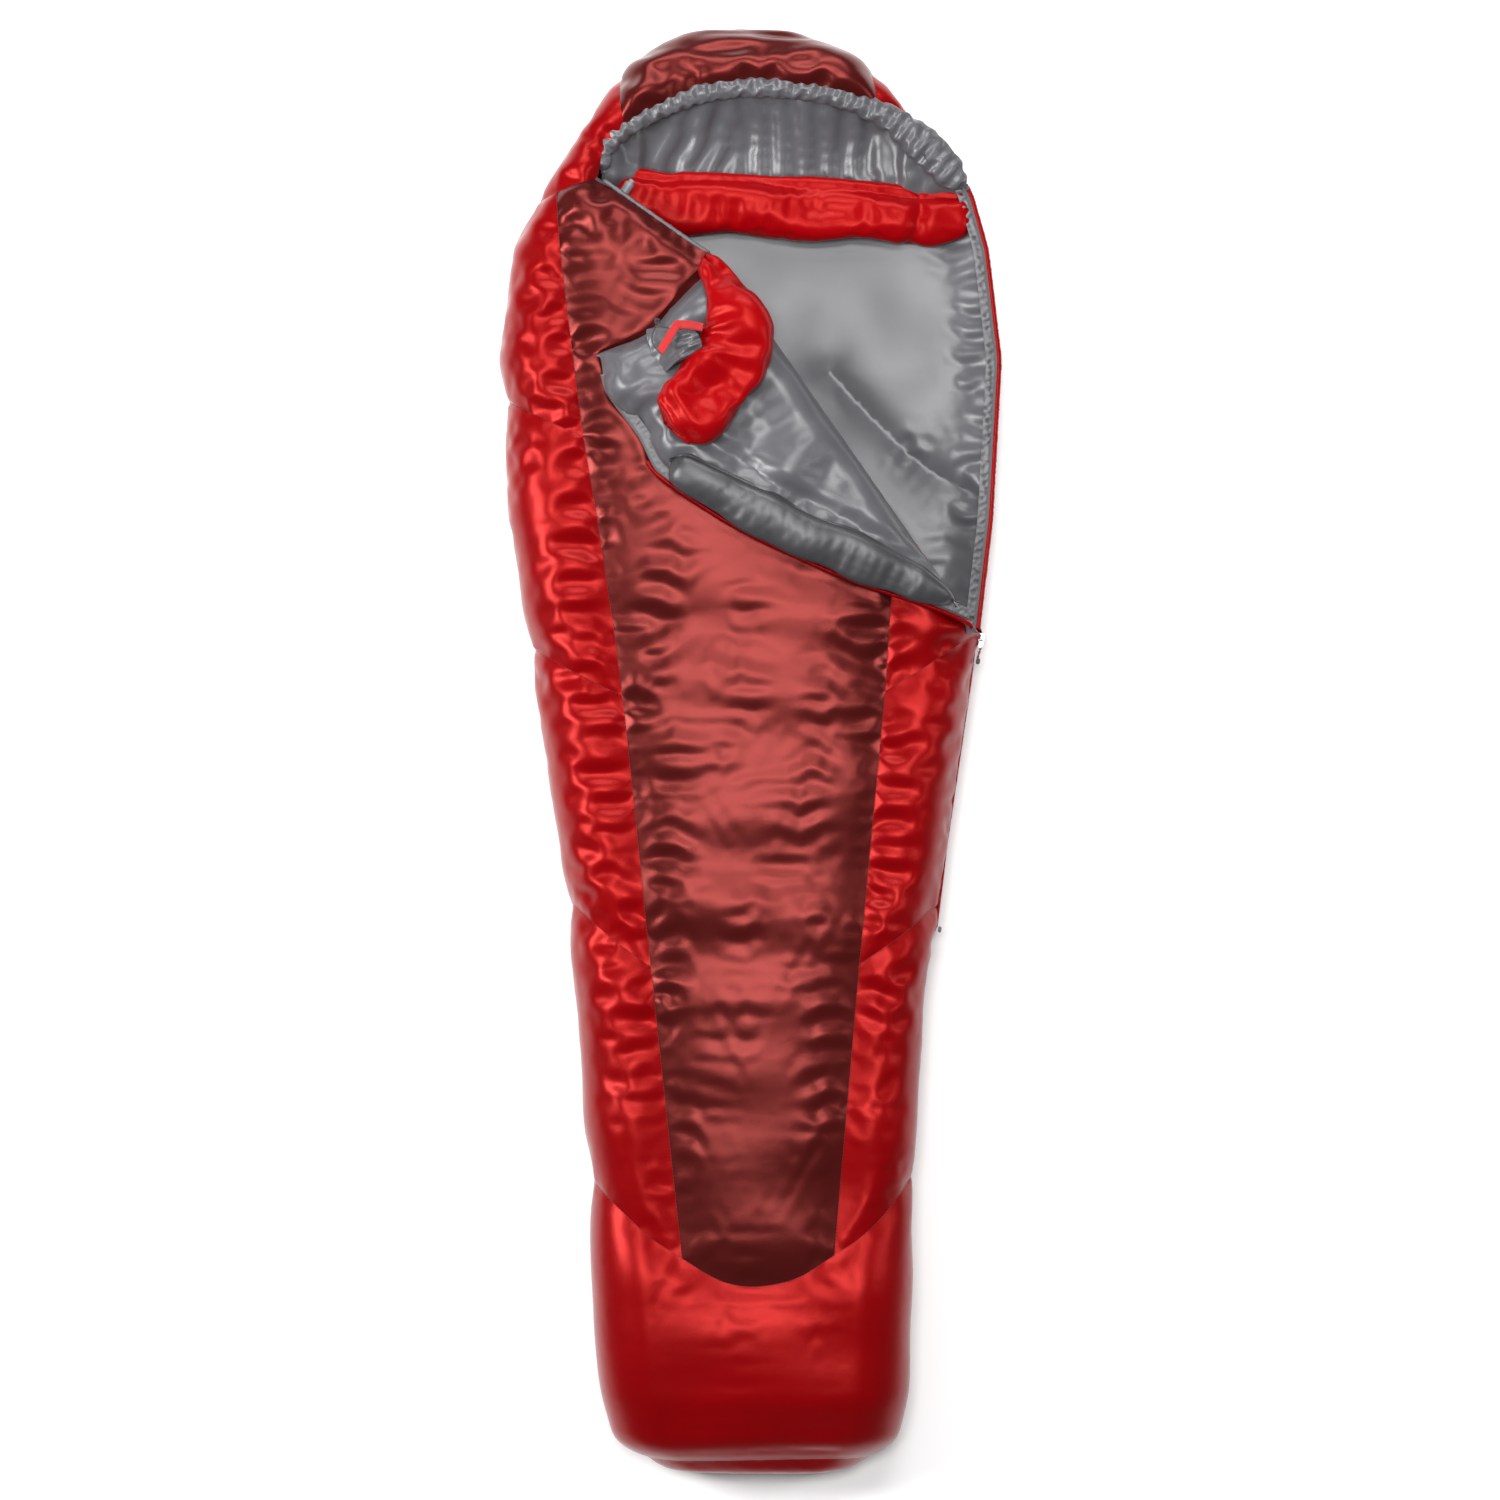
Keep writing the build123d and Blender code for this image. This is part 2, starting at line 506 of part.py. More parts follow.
flap_slab("flap_centre_panel", centre_flap, FLAP_Z, FLAP_Z + SKIN)
flap_slab("flap_side_panel", side_flap, FLAP_Z, FLAP_Z + SKIN)
flap_slab("flap_insulation", whole_flap, FLAP_Z + SKIN + PLY_GAP, FLAP_Z + WALL - SKIN - PLY_GAP)
flap_slab("flap_lining", whole_flap, FLAP_Z + WALL - SKIN, FLAP_Z + WALL)
on_lining = FLAP_Z + WALL + PLY_GAP
padded_tube("flap_draught_collar", FLAP_COLLAR, FLAP_COLLAR_SIZE, on_lining + FLAP_COLLAR_SIZE[1] / 2)
padded_tube("flap_draught_tube", DRAUGHT_TUBE, DRAUGHT_TUBE_SIZE, on_lining + DRAUGHT_TUBE_SIZE[1] / 2)
tape_z = FLAP_Z + WALL - FLAP_TAPE_DROP
coil_z = tape_z - (COIL - TAPE) / 2
edge_strip("zip_tape_flap", ZIP_EDGE, *FLAP_TAPE, tape_z, tape_z + TAPE)
edge_strip("zip_coil_flap", ZIP_EDGE, *FLAP_COIL, coil_z, coil_z + COIL)

# ---------------------------------------------------------------- collar tab and its pull
with BuildPart() as tab:
    with BuildSketch(Plane.XY.offset(TAB_Z)):
        with Locations(TAB_CENTRE):
            RectangleRounded(*TAB_SIZE, TAB_ROUNDING)
    extrude(amount=FLAT_THICKNESS)
finish(tab.part, "collar_tab")
webbing_length = math.dist(WEBBING_TOP, WEBBING_END)
webbing_run = Vector(*WEBBING_END) - Vector(*WEBBING_TOP)
webbing_angle = math.degrees(math.atan2(webbing_run.Y, webbing_run.X))
webbing_middle = [(a + b) / 2 for a, b in zip(WEBBING_TOP, WEBBING_END)]
with BuildPart() as webbing:
    with BuildSketch(Plane.XY.offset(WEBBING_Z)):
        with Locations(tuple(webbing_middle)):
            Rectangle(webbing_length, WEBBING_WIDTH, rotation=webbing_angle)
    extrude(amount=FLAT_THICKNESS)
finish(webbing.part, "pull_webbing")

runs = [math.dist(a, b) for a, b in zip(LOOP_ROUTE, LOOP_ROUTE[1:])]
radii = []
shorter = map(min, runs, runs[1:])
for before, corner, after, run in zip(LOOP_ROUTE, LOOP_ROUTE[1:], LOOP_ROUTE[2:], shorter):
    turn = (Vector(*corner) - Vector(*before)).get_angle(Vector(*after) - Vector(*corner))
    radii.append(BEND_SHARE * run / math.tan(math.radians(turn / 2)))
print("pull cord radii", [round(radius, 1) for radius in radii])
with BuildPart() as pull_cord:
    with BuildLine():
        route = FilletPolyline(*LOOP_ROUTE, radius=radii)
    with BuildSketch(Plane(route @ 0, z_dir=route % 0)):
        Circle(LOOP_CORD / 2)
    sweep()
finish(pull_cord.part, "pull_cord")
solid_volume = math.pi * (LOOP_CORD / 2) ** 2 * route.length
print("pull cord volume", round(pull_cord.part.volume), "of", round(solid_volume))
print("pull cord length", round(route.length, 2))
with BuildPart() as knot:
    with Locations(KNOT_CENTRE):
        Sphere(KNOT_RADIUS)
    with BuildSketch(Plane(route @ 1, z_dir=(route % 1) * -1)):
        Circle(LOOP_CORD / 2 + CORD_PLAY)
    extrude(amount=KNOT_HOLE, both=True, mode=Mode.SUBTRACT)
finish(knot.part, "pull_knot")
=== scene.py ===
"""The look of a mummy sleeping bag that lies part unzipped, with one corner folded back.

Most soft pieces are patches of cloth: a flat triangle mesh, cut along its seams, laid on a surface and
relaxed with a little more cloth than the surface needs, so that it buckles into folds between the seams.
"""

import math

import bpy
import numpy as np
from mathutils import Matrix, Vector, kdtree
from mathutils.geometry import delaunay_2d_cdt


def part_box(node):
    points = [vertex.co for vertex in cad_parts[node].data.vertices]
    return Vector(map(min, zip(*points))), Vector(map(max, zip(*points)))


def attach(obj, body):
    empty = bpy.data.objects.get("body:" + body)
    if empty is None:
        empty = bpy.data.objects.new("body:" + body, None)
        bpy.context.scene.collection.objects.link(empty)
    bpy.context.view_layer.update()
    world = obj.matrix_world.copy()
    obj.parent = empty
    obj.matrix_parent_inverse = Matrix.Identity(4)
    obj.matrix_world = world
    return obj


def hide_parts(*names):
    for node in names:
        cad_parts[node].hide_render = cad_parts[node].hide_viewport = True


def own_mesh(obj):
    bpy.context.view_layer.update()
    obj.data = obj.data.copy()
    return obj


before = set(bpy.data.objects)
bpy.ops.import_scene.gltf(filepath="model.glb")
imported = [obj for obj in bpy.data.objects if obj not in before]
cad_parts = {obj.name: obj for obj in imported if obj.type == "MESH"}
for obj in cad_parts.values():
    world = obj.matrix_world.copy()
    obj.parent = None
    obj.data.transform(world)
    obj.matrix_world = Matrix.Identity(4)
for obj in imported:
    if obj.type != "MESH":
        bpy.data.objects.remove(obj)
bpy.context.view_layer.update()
MM = 0.001
SPACING = 10 * MM  # side of the cloth's triangles
FINE = 2.5 * MM  # step along edges and pipings
STEPS = 260

# ---------------------------------------------------------------- sizes shared with the model, in mm
# Seams and edges are lines of plan points (X, Y).
# Stations of the bag: (Y, middle X, half width, height).
STATIONS = [
    (-1075, 12, 118, 90), (-1052, 12, 172, 130), (-1018, 9, 210, 160), (-950, 7, 225, 182),
    (-844, 3, 232, 190), (-607, 4, 242, 172), (-370, 4, 259, 155), (-133, 5, 287, 150),
    (104, 4, 323, 150), (341, 0, 355, 150), (578, 0, 368, 150), (740, 0, 349, 150),
    (826, 6, 319, 146), (897, 6, 272, 140), (969, 0, 218, 132), (1022, -4, 177, 118),
    (1057, -3, 120, 88), (1075, -3, 70, 60),
]
LEFT_SEAM = [(-289, 822), (-269, 652), (-244, 459), (-222, 326), (-187, 79), (-145, -318), (-99, -741)]
RIGHT_SEAM = [(215, 342), (198, 86), (160, -314), (123, -736)]
FOOT_SEAM = [(-252, -625), (-163, -699), (-99, -741), (-44, -773), (7, -782), (67, -770), (123, -736),
             (193, -689), (252, -622)]
FOOT_END_Y = -1050  # the seam round the foot's end panel
LEFT_CROSS = [((-244, 459), (-367, 514)), ((-187, 79), (-326, 148)), ((-145, -318), (-267, -230))]
RIGHT_CROSS = [((198, 86), (331, 167)), ((160, -314), (281, -230))]
SHOULDER_SEAM = [(-225, 843), (-289, 822), (-340, 806)]
NECK_EDGE = [(-225, 843), (-163, 800), (-89, 748), (-50, 723)]
FOLD_TOP, FOLD_END = (-50, 723), (335, 170)
HOOD_SEAMS = [[(-184, 900), (-193, 950), (-197, 985), (-196, 1002)], [(198, 952), (190, 980), (184, 1004)]]
RIM_POINTS = [(-218, 850), (-213, 889), (-163, 930), (-74, 967), (15, 977), (118, 966), (198, 936),
              (262, 868)]
UNDER_RIM = [(-4, 2), (-5, 2), (-4, 5), (-2, 6), (0, 7), (2, 6)]  # from the rim's line to the shell's edge
HOOD_SIDE = [(198, 952), (230, 926), (289, 866), (322, 832)]
FOLD_Z, FOLD_RADIUS = 151, 37  # the fold's middle height, and its half thickness
ZIP_EDGE = [(318, 190), (266, 212), (148, 252), (15, 311), (-74, 363), (-133, 405), (-163, 459)]
FLAP_TIP = [(-207, 518), (-227, 581), (-155, 615), (-121, 649), (-89, 690)]
FLAP_SEAM = [(215, 342), (-203, 512)]
LINING_INSET = (-10, -13, -13, -13, -13, -11, -5)  # from the zip edge to the folded corner's lining
# Heights of the underside's seam, of the zip, and of the hood's back seam where it meets the crown.
UNDERSIDE_Z, ZIP_Z, CROWN_SEAM_Z = 25, 75, 20
END_Y = 1075  # both ends of the bag
COIL_END_Y = -258  # the zip's lower end
LEVEL = [(-1075, 0), (-844, -11), (-700, -9), (-370, 6), (-100, 4), (200, 0)]  # (Y, height added to the top)
SLIDER_Y = 163
TOOTH_SHIFT = 0.6 * MM  # how far every other tooth stands out
SLIDER_GAP = 14  # from the slider's middle to where the teeth begin again
LINING_SPLIT = [(-230, 822), (335, 797)]
QUILT_SEAM = [(120, 560), (192, 483), (262, 420), (345, 372)]
TUBE_SEAM = [(-90, 470), (-15, 420), (48, 382), (165, 322), (262, 268)]
# Padded tubes: centre line, half widths, heights of the centre and half heights.
BASE_COLLAR = [(-205, 842), (-163, 829), (-104, 813), (15, 808), (118, 801), (193, 797), (274, 791),
               (334, 797)]
BASE_COLLAR_SIZES = ((22, 33, 45, 46, 44, 43, 42, 30), (66, 66, 66, 66, 66, 67, 70, 74),
                     (20, 26, 28, 28, 28, 26, 20, 9))
FLAP_COLLAR = [(-66, 718), (-36, 664), (-22, 612), (-32, 556), (-76, 506), (-124, 472)]
FLAP_COLLAR_SIZES = ((9, 31, 52, 56, 50, 45), (200, 210, 214, 214, 213, 211), (9, 21, 27, 27, 27, 25))
DRAUGHT_TUBE = [(-116, 424), (-46, 378), (24, 341), (147, 286), (246, 243), (303, 214)]
DRAUGHT_TUBE_SIZES = ((22, 34, 36, 35, 27, 9), (199, 199, 199, 199, 194, 182), (11, 15, 16, 15, 13, 6))
RIM_TAIL = [(256, 893), (296, 853), (323, 830)]
RIM_SIZES = ((14, 15, 15, 15, 15, 15, 18, 27, 24, 8), (108, 108, 108, 108, 108, 107, 105, 99, 92, 86),
             (12, 12, 12, 12, 12, 12, 13, 14, 12, 6))
LOOP_ROUTE = [(-129, 572, 248), (-139, 580, 248), (-143, 596, 248), (-135, 612, 248)]
LOOP_CORD, LOOP_LENGTH = 2, 46.15
KNOT = (-133.5, 617.5, 248)
LOCK_POINT, LOCK_AXIS = (-181, 829, 106), (0.57, 0.82, 0)
SPRING_START, SPRING_HEIGHT, SPRING_PITCH, SPRING_RADIUS, SPRING_WIRE = -5.4, 4, 1.3, 3.4, 0.6
WEBBING_WIDTH = 12
WEBBING = [(-68, 609, 241), (-84, 612, 245), (-105, 613, 246.6), (-113, 600, 247.2), (-129, 573, 247)]
STITCH_STEP, STITCH_WIDTH = 5 * MM, 0.45 * MM
STITCH_SHAPE = [(-1.6, 0.3), (-1, 1), (1, 1), (1.6, 0.3)]  # (place along it in mm, share of its width)


# ---------------------------------------------------------------- curves in the plane
def unit(vectors, least=0.0):
    """Each vector at length 1; least keeps an empty one from dividing by nothing."""
    return vectors / (np.linalg.norm(vectors, axis=1)[:, None] + least)


def run_of(line):
    """How far along an open line each of its points lies."""
    return np.concatenate([[0], np.cumsum(np.linalg.norm(np.diff(line, axis=0), axis=1))])


def points_at(places, marks, line):
    """Points of a line at some places, where marks are the places of its own points."""
    return np.column_stack([np.interp(places, marks, column) for column in line.T])


def dense(points, step=SPACING, smooth=True):
    """Points along an open line, step apart, through a smooth curve if asked."""
    p = np.array(points, float)
    if smooth and len(p) > 2:
        padded = np.vstack([2 * p[0] - p[1], p, 2 * p[-1] - p[-2]])
        u = np.linspace(0, 1, 24, endpoint=False)[:, None]
        parts = []
        for a, b, c, d in zip(padded, padded[1:], padded[2:], padded[3:]):
            parts.append(0.5 * (2 * b + (c - a) * u + (2 * a - 5 * b + 4 * c - d) * u**2
                                + (3 * b - a - 3 * c + d) * u**3))
        p = np.vstack([*parts, p[-1:]])
    run = run_of(p)
    count = max(int(round(run[-1] / step)), 1) + 1
    return points_at(np.linspace(0, run[-1], count), run, p)


def inside(points, polygon):
    """Which points lie inside a closed polygon."""
    x, y = points[:, 0], points[:, 1]
    found = np.zeros(len(points), bool)
    for (ax, ay), (bx, by) in zip(polygon, np.roll(polygon, -1, axis=0)):
        if ay == by:
            continue
        found ^= ((ay > y) != (by > y)) & (x < (bx - ax) * (y - ay) / (by - ay) + ax)
    return found


def extend(line, length):
    """The line made longer at both ends, so that it crosses what it meets."""
    first = line[0] - (line[1] - line[0]) / np.linalg.norm(line[1] - line[0]) * length
    last = line[-1] + (line[-1] - line[-2]) / np.linalg.norm(line[-1] - line[-2]) * length
    return np.vstack([first, line, last])


def make_tree(samples):
    """A search tree over points of the plane."""
    tree = kdtree.KDTree(len(samples))
    for i, sample in enumerate(samples):
        tree.insert((sample[0], sample[1], 0), i)
    tree.balance()
    return tree


def nearest(points, samples):
    """Distance from each point to the nearest sample."""
    tree = make_tree(samples)
    return np.array([tree.find((x, y, 0))[2] for x, y in points])


def near_line(points, line, reach):
    """1 on a line, falling smoothly to 0 away from it."""
    return np.exp(-((nearest(points, line) / reach) ** 2))


def lumps(uv, wave, stretch, seed, count=28):
    """Smooth random waves about 1 high, longer along u by stretch."""
    rng = np.random.default_rng(seed)
    u, v = uv.T
    total = np.zeros(len(uv))
    for _ in range(count):
        turn = rng.uniform(0, 2 * math.pi)
        size = 2 * math.pi / (wave * rng.uniform(0.7, 1.5))
        phase = rng.uniform(0, 2 * math.pi)
        total += np.cos(u * math.cos(turn) * size / stretch + v * math.sin(turn) * size + phase)
    return total / math.sqrt(count / 2)


def sums(index, vectors, count):
    """The sum of the 3-D vectors at each index."""
    return np.column_stack([np.bincount(index, column, count) for column in vectors.T])


def renumber(tris, count):
    """The vertices that some triangles use, and every vertex's new number, -1 where it is unused."""
    used = np.unique(tris)
    index = np.full(count, -1)
    index[used] = np.arange(len(used))
    return used, index


# ---------------------------------------------------------------- cloth
ROW = 0.866  # height of a row of even triangles, per side
PULL = 0.28  # how fast the cloth closes on its rest lengths
INERTIA = 0.9  # share of its motion that it keeps


class Cloth:
    """A triangle mesh over a flat cutting plan, with its seams as edges."""

    def __init__(self, outline, seams=(), holes=(), spacing=SPACING, seed=1):
        rng = np.random.default_rng(seed)
        self.spacing = spacing
        closed = [np.vstack([line, line[:1]]) for line in (outline, *holes)]
        seams = [extend(line, 3 * MM) for line in seams]
        low, high = outline.min(axis=0), outline.max(axis=0)
        grid = []
        for j, v in enumerate(np.arange(low[1], high[1], spacing * ROW)):
            row = np.arange(low[0] + (j % 2) * spacing / 2, high[0], spacing)
            grid.append(np.column_stack([row, np.full(len(row), v)]))
        grid = np.vstack(grid)
        grid += rng.normal(0, spacing * 0.06, grid.shape)
        grid = grid[inside(grid, outline)]
        for hole in holes:
            grid = grid[~inside(grid, hole)]
        lines = [*closed, *seams]
        grid = grid[nearest(grid, np.vstack(lines)) > 0.55 * spacing]
        points = np.vstack([grid, *lines])
        edges, start = [], len(grid)
        for line in lines:
            edges += [(start + i, start + i + 1) for i in range(len(line) - 1)]
            start += len(line)
        verts, out_edges, tris, _, kept, _ = delaunay_2d_cdt(
            [Vector(p) for p in points], edges, [], 0, 1e-6, True)
        self.uv = np.array([tuple(v) for v in verts])
        tris = np.array(tris)
        middle = self.uv[tris].mean(axis=1)
        keep = inside(middle, outline)
        for hole in holes:
            keep &= ~inside(middle, hole)
        self.tris = tris[keep]
        self.walls = {tuple(sorted(e)) for e, source in zip(out_edges, kept) if source}
        self.on_line = np.zeros(len(self.uv), bool)
        for a, b in self.walls:
            self.on_line[[a, b]] = True
        self._trim()
        self.find_edges()

    def _trim(self):
        """Drops the vertices that no triangle uses."""
        used, index = renumber(self.tris, len(self.uv))
        self.uv, self.on_line = self.uv[used], self.on_line[used]
        self.tris = index[self.tris]
        self.walls = {(index[a], index[b]) for a, b in self.walls if index[a] >= 0 and index[b] >= 0}

    def find_edges(self):
        """Edges, the corner pairs across each inner edge, and the rim vertices."""
        t = self.tris
        sides = np.vstack([t[:, [0, 1, 2]], t[:, [1, 2, 0]], t[:, [2, 0, 1]]])
        key = np.sort(sides[:, :2], axis=1)
        order = np.lexsort((key[:, 1], key[:, 0]))
        key, far, owner = key[order], sides[order, 2], np.tile(np.arange(len(t)), 3)[order]
        same = (key[1:] == key[:-1]).all(axis=1)
        first = np.concatenate([[True], ~same])
        self.edges = key[first]
        twin = np.flatnonzero(same)
        self.bends = np.column_stack([far[twin], far[twin + 1]])
        self.pairs = np.column_stack([owner[twin], owner[twin + 1]])
        self.pair_edges = key[twin]
        single = np.ones(len(key), bool)
        single[twin] = single[twin + 1] = False
        self.rim = np.zeros(len(self.uv), bool)
        self.rim[key[single].ravel()] = True

    def wall_keys(self):
        """One number for each edge on a seam or an outline."""
        return np.array([sorted(wall) for wall in self.walls]) @ [len(self.uv), 1]

    def panels(self):
        """A panel number for each triangle: panels are parted by seams."""
        is_wall = np.isin(self.pair_edges @ [len(self.uv), 1], self.wall_keys())
        a, b = self.pairs[~is_wall].T
        label = np.arange(len(self.tris))
        while True:
            low = np.minimum(label[a], label[b])
            new = label.copy()
            np.minimum.at(new, a, low)
            np.minimum.at(new, b, low)
            new = new[new]
            if (new == label).all():
                return label
            label = new

    def refine(self):
        """Splits each triangle in four, smoothly, and keeps the seams as creases."""
        labels = self.panels()
        n = len(self.uv)
        a, b = self.edges.T
        keys = a * n + b
        crease = np.isin(keys, self.wall_keys())
        inner = np.zeros(len(keys), bool)
        where = np.searchsorted(keys, self.pair_edges @ [n, 1])
        inner[where] = True
        crease |= ~inner
        mid = (self.co[a] + self.co[b]) / 2
        soft = ~crease[where]
        far = self.co[self.bends[soft, 0]] + self.co[self.bends[soft, 1]]
        mid[where[soft]] = 0.75 * mid[where[soft]] + 0.125 * far

        def around(chosen):
            """How many chosen edges meet at each vertex, and the sum of their far ends."""
            ends = np.concatenate([a[chosen], b[chosen]])
            other = self.co[np.concatenate([b[chosen], a[chosen]])]
            return np.bincount(ends, minlength=n), sums(ends, other, n)

        count, total = around(np.ones(len(keys), bool))
        creases, crease_total = around(crease)
        share = 3 / (8 * np.maximum(count, 3))
        smooth = self.co * (1 - count * share)[:, None] + total * share[:, None]
        along = 0.75 * self.co + 0.125 * crease_total
        co = np.where((creases == 0)[:, None], smooth, np.where((creases == 2)[:, None], along, self.co))
        t0, t1, t2 = self.tris.T
        s0, s1, s2 = (n + np.searchsorted(keys, np.minimum(i, j) * n + np.maximum(i, j))
                      for i, j in ((t0, t1), (t1, t2), (t2, t0)))
        self.tris = np.vstack([np.column_stack(c) for c in (
            (t0, s0, s2), (s0, t1, s1), (s2, s1, t2), (s0, s1, s2))])
        self.labels = np.tile(labels, 4)
        self.walls = {(v, n + i) for i in np.flatnonzero(crease) for v in (a[i], b[i])}
        self.co = np.vstack([co, mid])
        self.uv = np.vstack([self.uv, (self.uv[a] + self.uv[b]) / 2])
        self.normal = np.vstack([self.normal, (self.normal[a] + self.normal[b]) / 2])
        self.on_line = np.concatenate([self.on_line, crease & self.on_line[a] & self.on_line[b]])
        self.find_edges()
        return self

    def lay(self, surface, puff=0.0, reach=0.045, depth=0.0, relief=None, puff_lines=None):
        """Lays the cloth on a surface, raised between its seams and by a relief."""
        e = 1e-4  # a small step for slopes
        du = surface(self.uv + [e, 0]) - surface(self.uv - [e, 0])
        dv = surface(self.uv + [0, e]) - surface(self.uv - [0, e])
        self.normal = unit(np.cross(du, dv), 1e-12)
        lines = self.uv[self.on_line] if puff_lines is None else puff_lines
        self.gap = nearest(self.uv, lines) if len(lines) else np.full(len(self.uv), 1.0)
        height = puff * (1 - np.exp(-((self.gap / reach) ** 1.2))) - depth
        if relief is not None:
            height = height + relief
        self.home = surface(self.uv) + self.normal * height[:, None]
        return self

    def relax(self, over=(1.0, 1.04), hold=0.02, cap=0.02, noise=0.002, wave=0.05, stretch=3.0,
              pinned=None, bend=0.3, steps=STEPS, seed=7):
        """Buckles the cloth: rest lengths are the home lengths times over, along u and along v."""
        pinned = self.on_line if pinned is None else pinned
        n = len(self.uv)
        over = [np.broadcast_to(np.asarray(o, float), (n,)) for o in over]

        def rest(pairs):
            a, b = pairs.T
            span = np.abs(self.uv[b] - self.uv[a])
            grow = [(o[a] + o[b]) / 2 for o in over]
            scale = np.hypot(span[:, 0] * grow[0], span[:, 1] * grow[1]) / np.hypot(*span.T)
            return np.linalg.norm(self.home[b] - self.home[a], axis=1) * scale

        links = [(self.edges.T, rest(self.edges), 1.0), (self.bends.T, rest(self.bends), bend)]
        fade = np.clip(self.gap / 0.02, 0, 1)
        start = 0.7 * lumps(self.uv, wave, stretch, seed)
        start += 0.3 * lumps(self.uv, wave / 2.2, stretch / 1.6, seed + 1)
        p = self.home + self.normal * (noise * fade * start)[:, None]
        last = p.copy()
        for _ in range(steps):
            move = np.zeros_like(p)
            for (a, b), length, strength in links:
                d = p[b] - p[a]
                size = np.sqrt((d * d).sum(axis=1)) + 1e-12
                d *= (strength * 0.5 * (size - length) / size)[:, None]
                move += sums(a, d, n) - sums(b, d, n)
            new = p + move * PULL + (p - last) * INERTIA
            off = new - self.home
            new -= off * hold
            far = np.linalg.norm(off, axis=1)
            over_cap = far > cap
            new[over_cap] = self.home[over_cap] + off[over_cap] * (cap / far[over_cap])[:, None]
            new[pinned] = self.home[pinned]
            last, p = p, new
        self.co = p
        return self.refine()

    def crease(self, over, reach=60 * MM):
        """A second, finer relaxation that adds small creases near the seams, then one more smooth split."""
        self.home = self.co.copy()
        a, b, c = (self.home[self.tris[:, k]] for k in range(3))
        face = np.cross(b - a, c - a)
        self.normal = unit(sums(self.tris.ravel(), np.repeat(face, 3, axis=0), len(self.uv)), 1e-12)
        edge = self.on_line | self.rim
        self.gap = nearest(self.uv, self.uv[edge])
        labels = self.labels
        self.relax((1, 1 + over * np.exp(-self.gap / reach)), hold=0.03, cap=12 * MM, noise=0.8 * MM,
                   wave=0.024, stretch=6.0, pinned=edge, bend=0.6, steps=40, seed=17)
        self.labels = np.tile(labels, 4)
        return self


def mesh_piece(name, co, faces, material, smooth=True):
    """A new mesh object from vertices and faces."""
    mesh = bpy.data.meshes.new(name)
    mesh.from_pydata([tuple(c) for c in co], [], [tuple(int(i) for i in f) for f in faces])
    mesh.validate()
    mesh.update()
    if smooth:
        mesh.shade_smooth()
    obj = bpy.data.objects.new(name, mesh)
    bpy.context.collection.objects.link(obj)
    obj.data.materials.append(material)
    return obj


def cut_piece(name, cloth, tris, material):
    """One object from some of a cloth's triangles."""
    used, index = renumber(tris, len(cloth.uv))
    return mesh_piece(name, cloth.co[used], index[tris], material)


# ---------------------------------------------------------------- surfaces
class Bag:
    """The outer surface over (s, t): s runs round the section from its top, t runs to the head."""

    def __init__(self):
        table = np.array(STATIONS, float) * MM
        end = table[-1, 0]
        y = np.arange(-end, end + 1e-9, 2 * MM)
        blur = np.hanning(25)
        blur /= blur.sum()
        self.y = y
        columns = []
        for i in (1, 2, 3):
            line = np.interp(y, table[:, 0], table[:, i])
            columns.append(np.convolve(np.pad(line, 12, mode="edge"), blur, mode="valid"))
        past = np.clip((np.abs(y) - (end - 14 * MM)) / (14 * MM), 0, 1)
        shrink = np.sqrt(np.clip(1 - past**2, 0.0009, 1))
        self.middle, self.wide, self.tall = columns
        self.wide, self.tall = self.wide * shrink, self.tall * (0.3 + 0.7 * shrink)
        steps = np.sqrt(np.diff(y)**2 + (np.diff(self.wide)**2 + np.diff(self.tall)**2) / 2)
        self.t = np.concatenate([[0], np.cumsum(steps)])

    def section(self, t):
        """Y, middle X, length of half the flat top, corner radius and height."""
        y, c, w, h = (np.interp(t, self.t, line) for line in (self.y, self.middle, self.wide, self.tall))
        r = np.minimum(h / 2, w * 0.98)
        return y, c, w - r, r, h

    def t_at(self, y):
        return np.interp(y, self.y, self.t)

    def surface(self, uv):
        y, c, flat, r, h = self.section(uv[:, 1])
        out = np.clip(np.abs(uv[:, 0]) - flat, 0, None)
        turn = out / r
        side = np.sign(uv[:, 0])
        x = c + np.where(out > 0, side * (flat + r * np.sin(turn)), uv[:, 0])
        return np.column_stack([x, y, h / 2 + (h / 2) * np.cos(turn)])

    def underside(self, uv):
        """The same surface turned over: s runs from the bottom middle."""
        p = self.surface(uv * [-1, 1])
        h = self.section(uv[:, 1])[4]
        p[:, 2] = h - p[:, 2]
        return p

    def locate(self, points):
        """(s, t) on the top for plan points in mm."""
        p = np.array(points, float) * MM
        t = self.t_at(p[:, 1])
        _, c, flat, r, _ = self.section(t)
        x = p[:, 0] - c
        over = np.clip((np.abs(x) - flat) / r, 0, 1)
        s = np.sign(x) * np.where(np.abs(x) > flat, flat + r * np.arcsin(over), np.abs(x))
        return np.column_stack([s, t])

    def top_at(self, points):
        """Height of the top over plan points in metres."""
        return self.surface(self.locate(points / MM))[:, 2]

    def along(self, y0, y1, level, side, step=SPACING):
        """A line on one side from y0 to y1 at a height, or at heights that change; all are in mm."""
        t = np.linspace(self.t_at(y0 * MM), self.t_at(y1 * MM), 400)
        _, _, flat, r, h = self.section(t)
        turn = np.arccos(np.clip((level * MM - h / 2) / (h / 2), -1, 1))
        return dense(np.column_stack([side * (flat + r * turn), t]), step, smooth=False)


BAG = Bag()
SEAM_DEPTH = 7 * MM
FLAP_REST = 0.150  # height that the folded corner lies at, where the bag's top is level


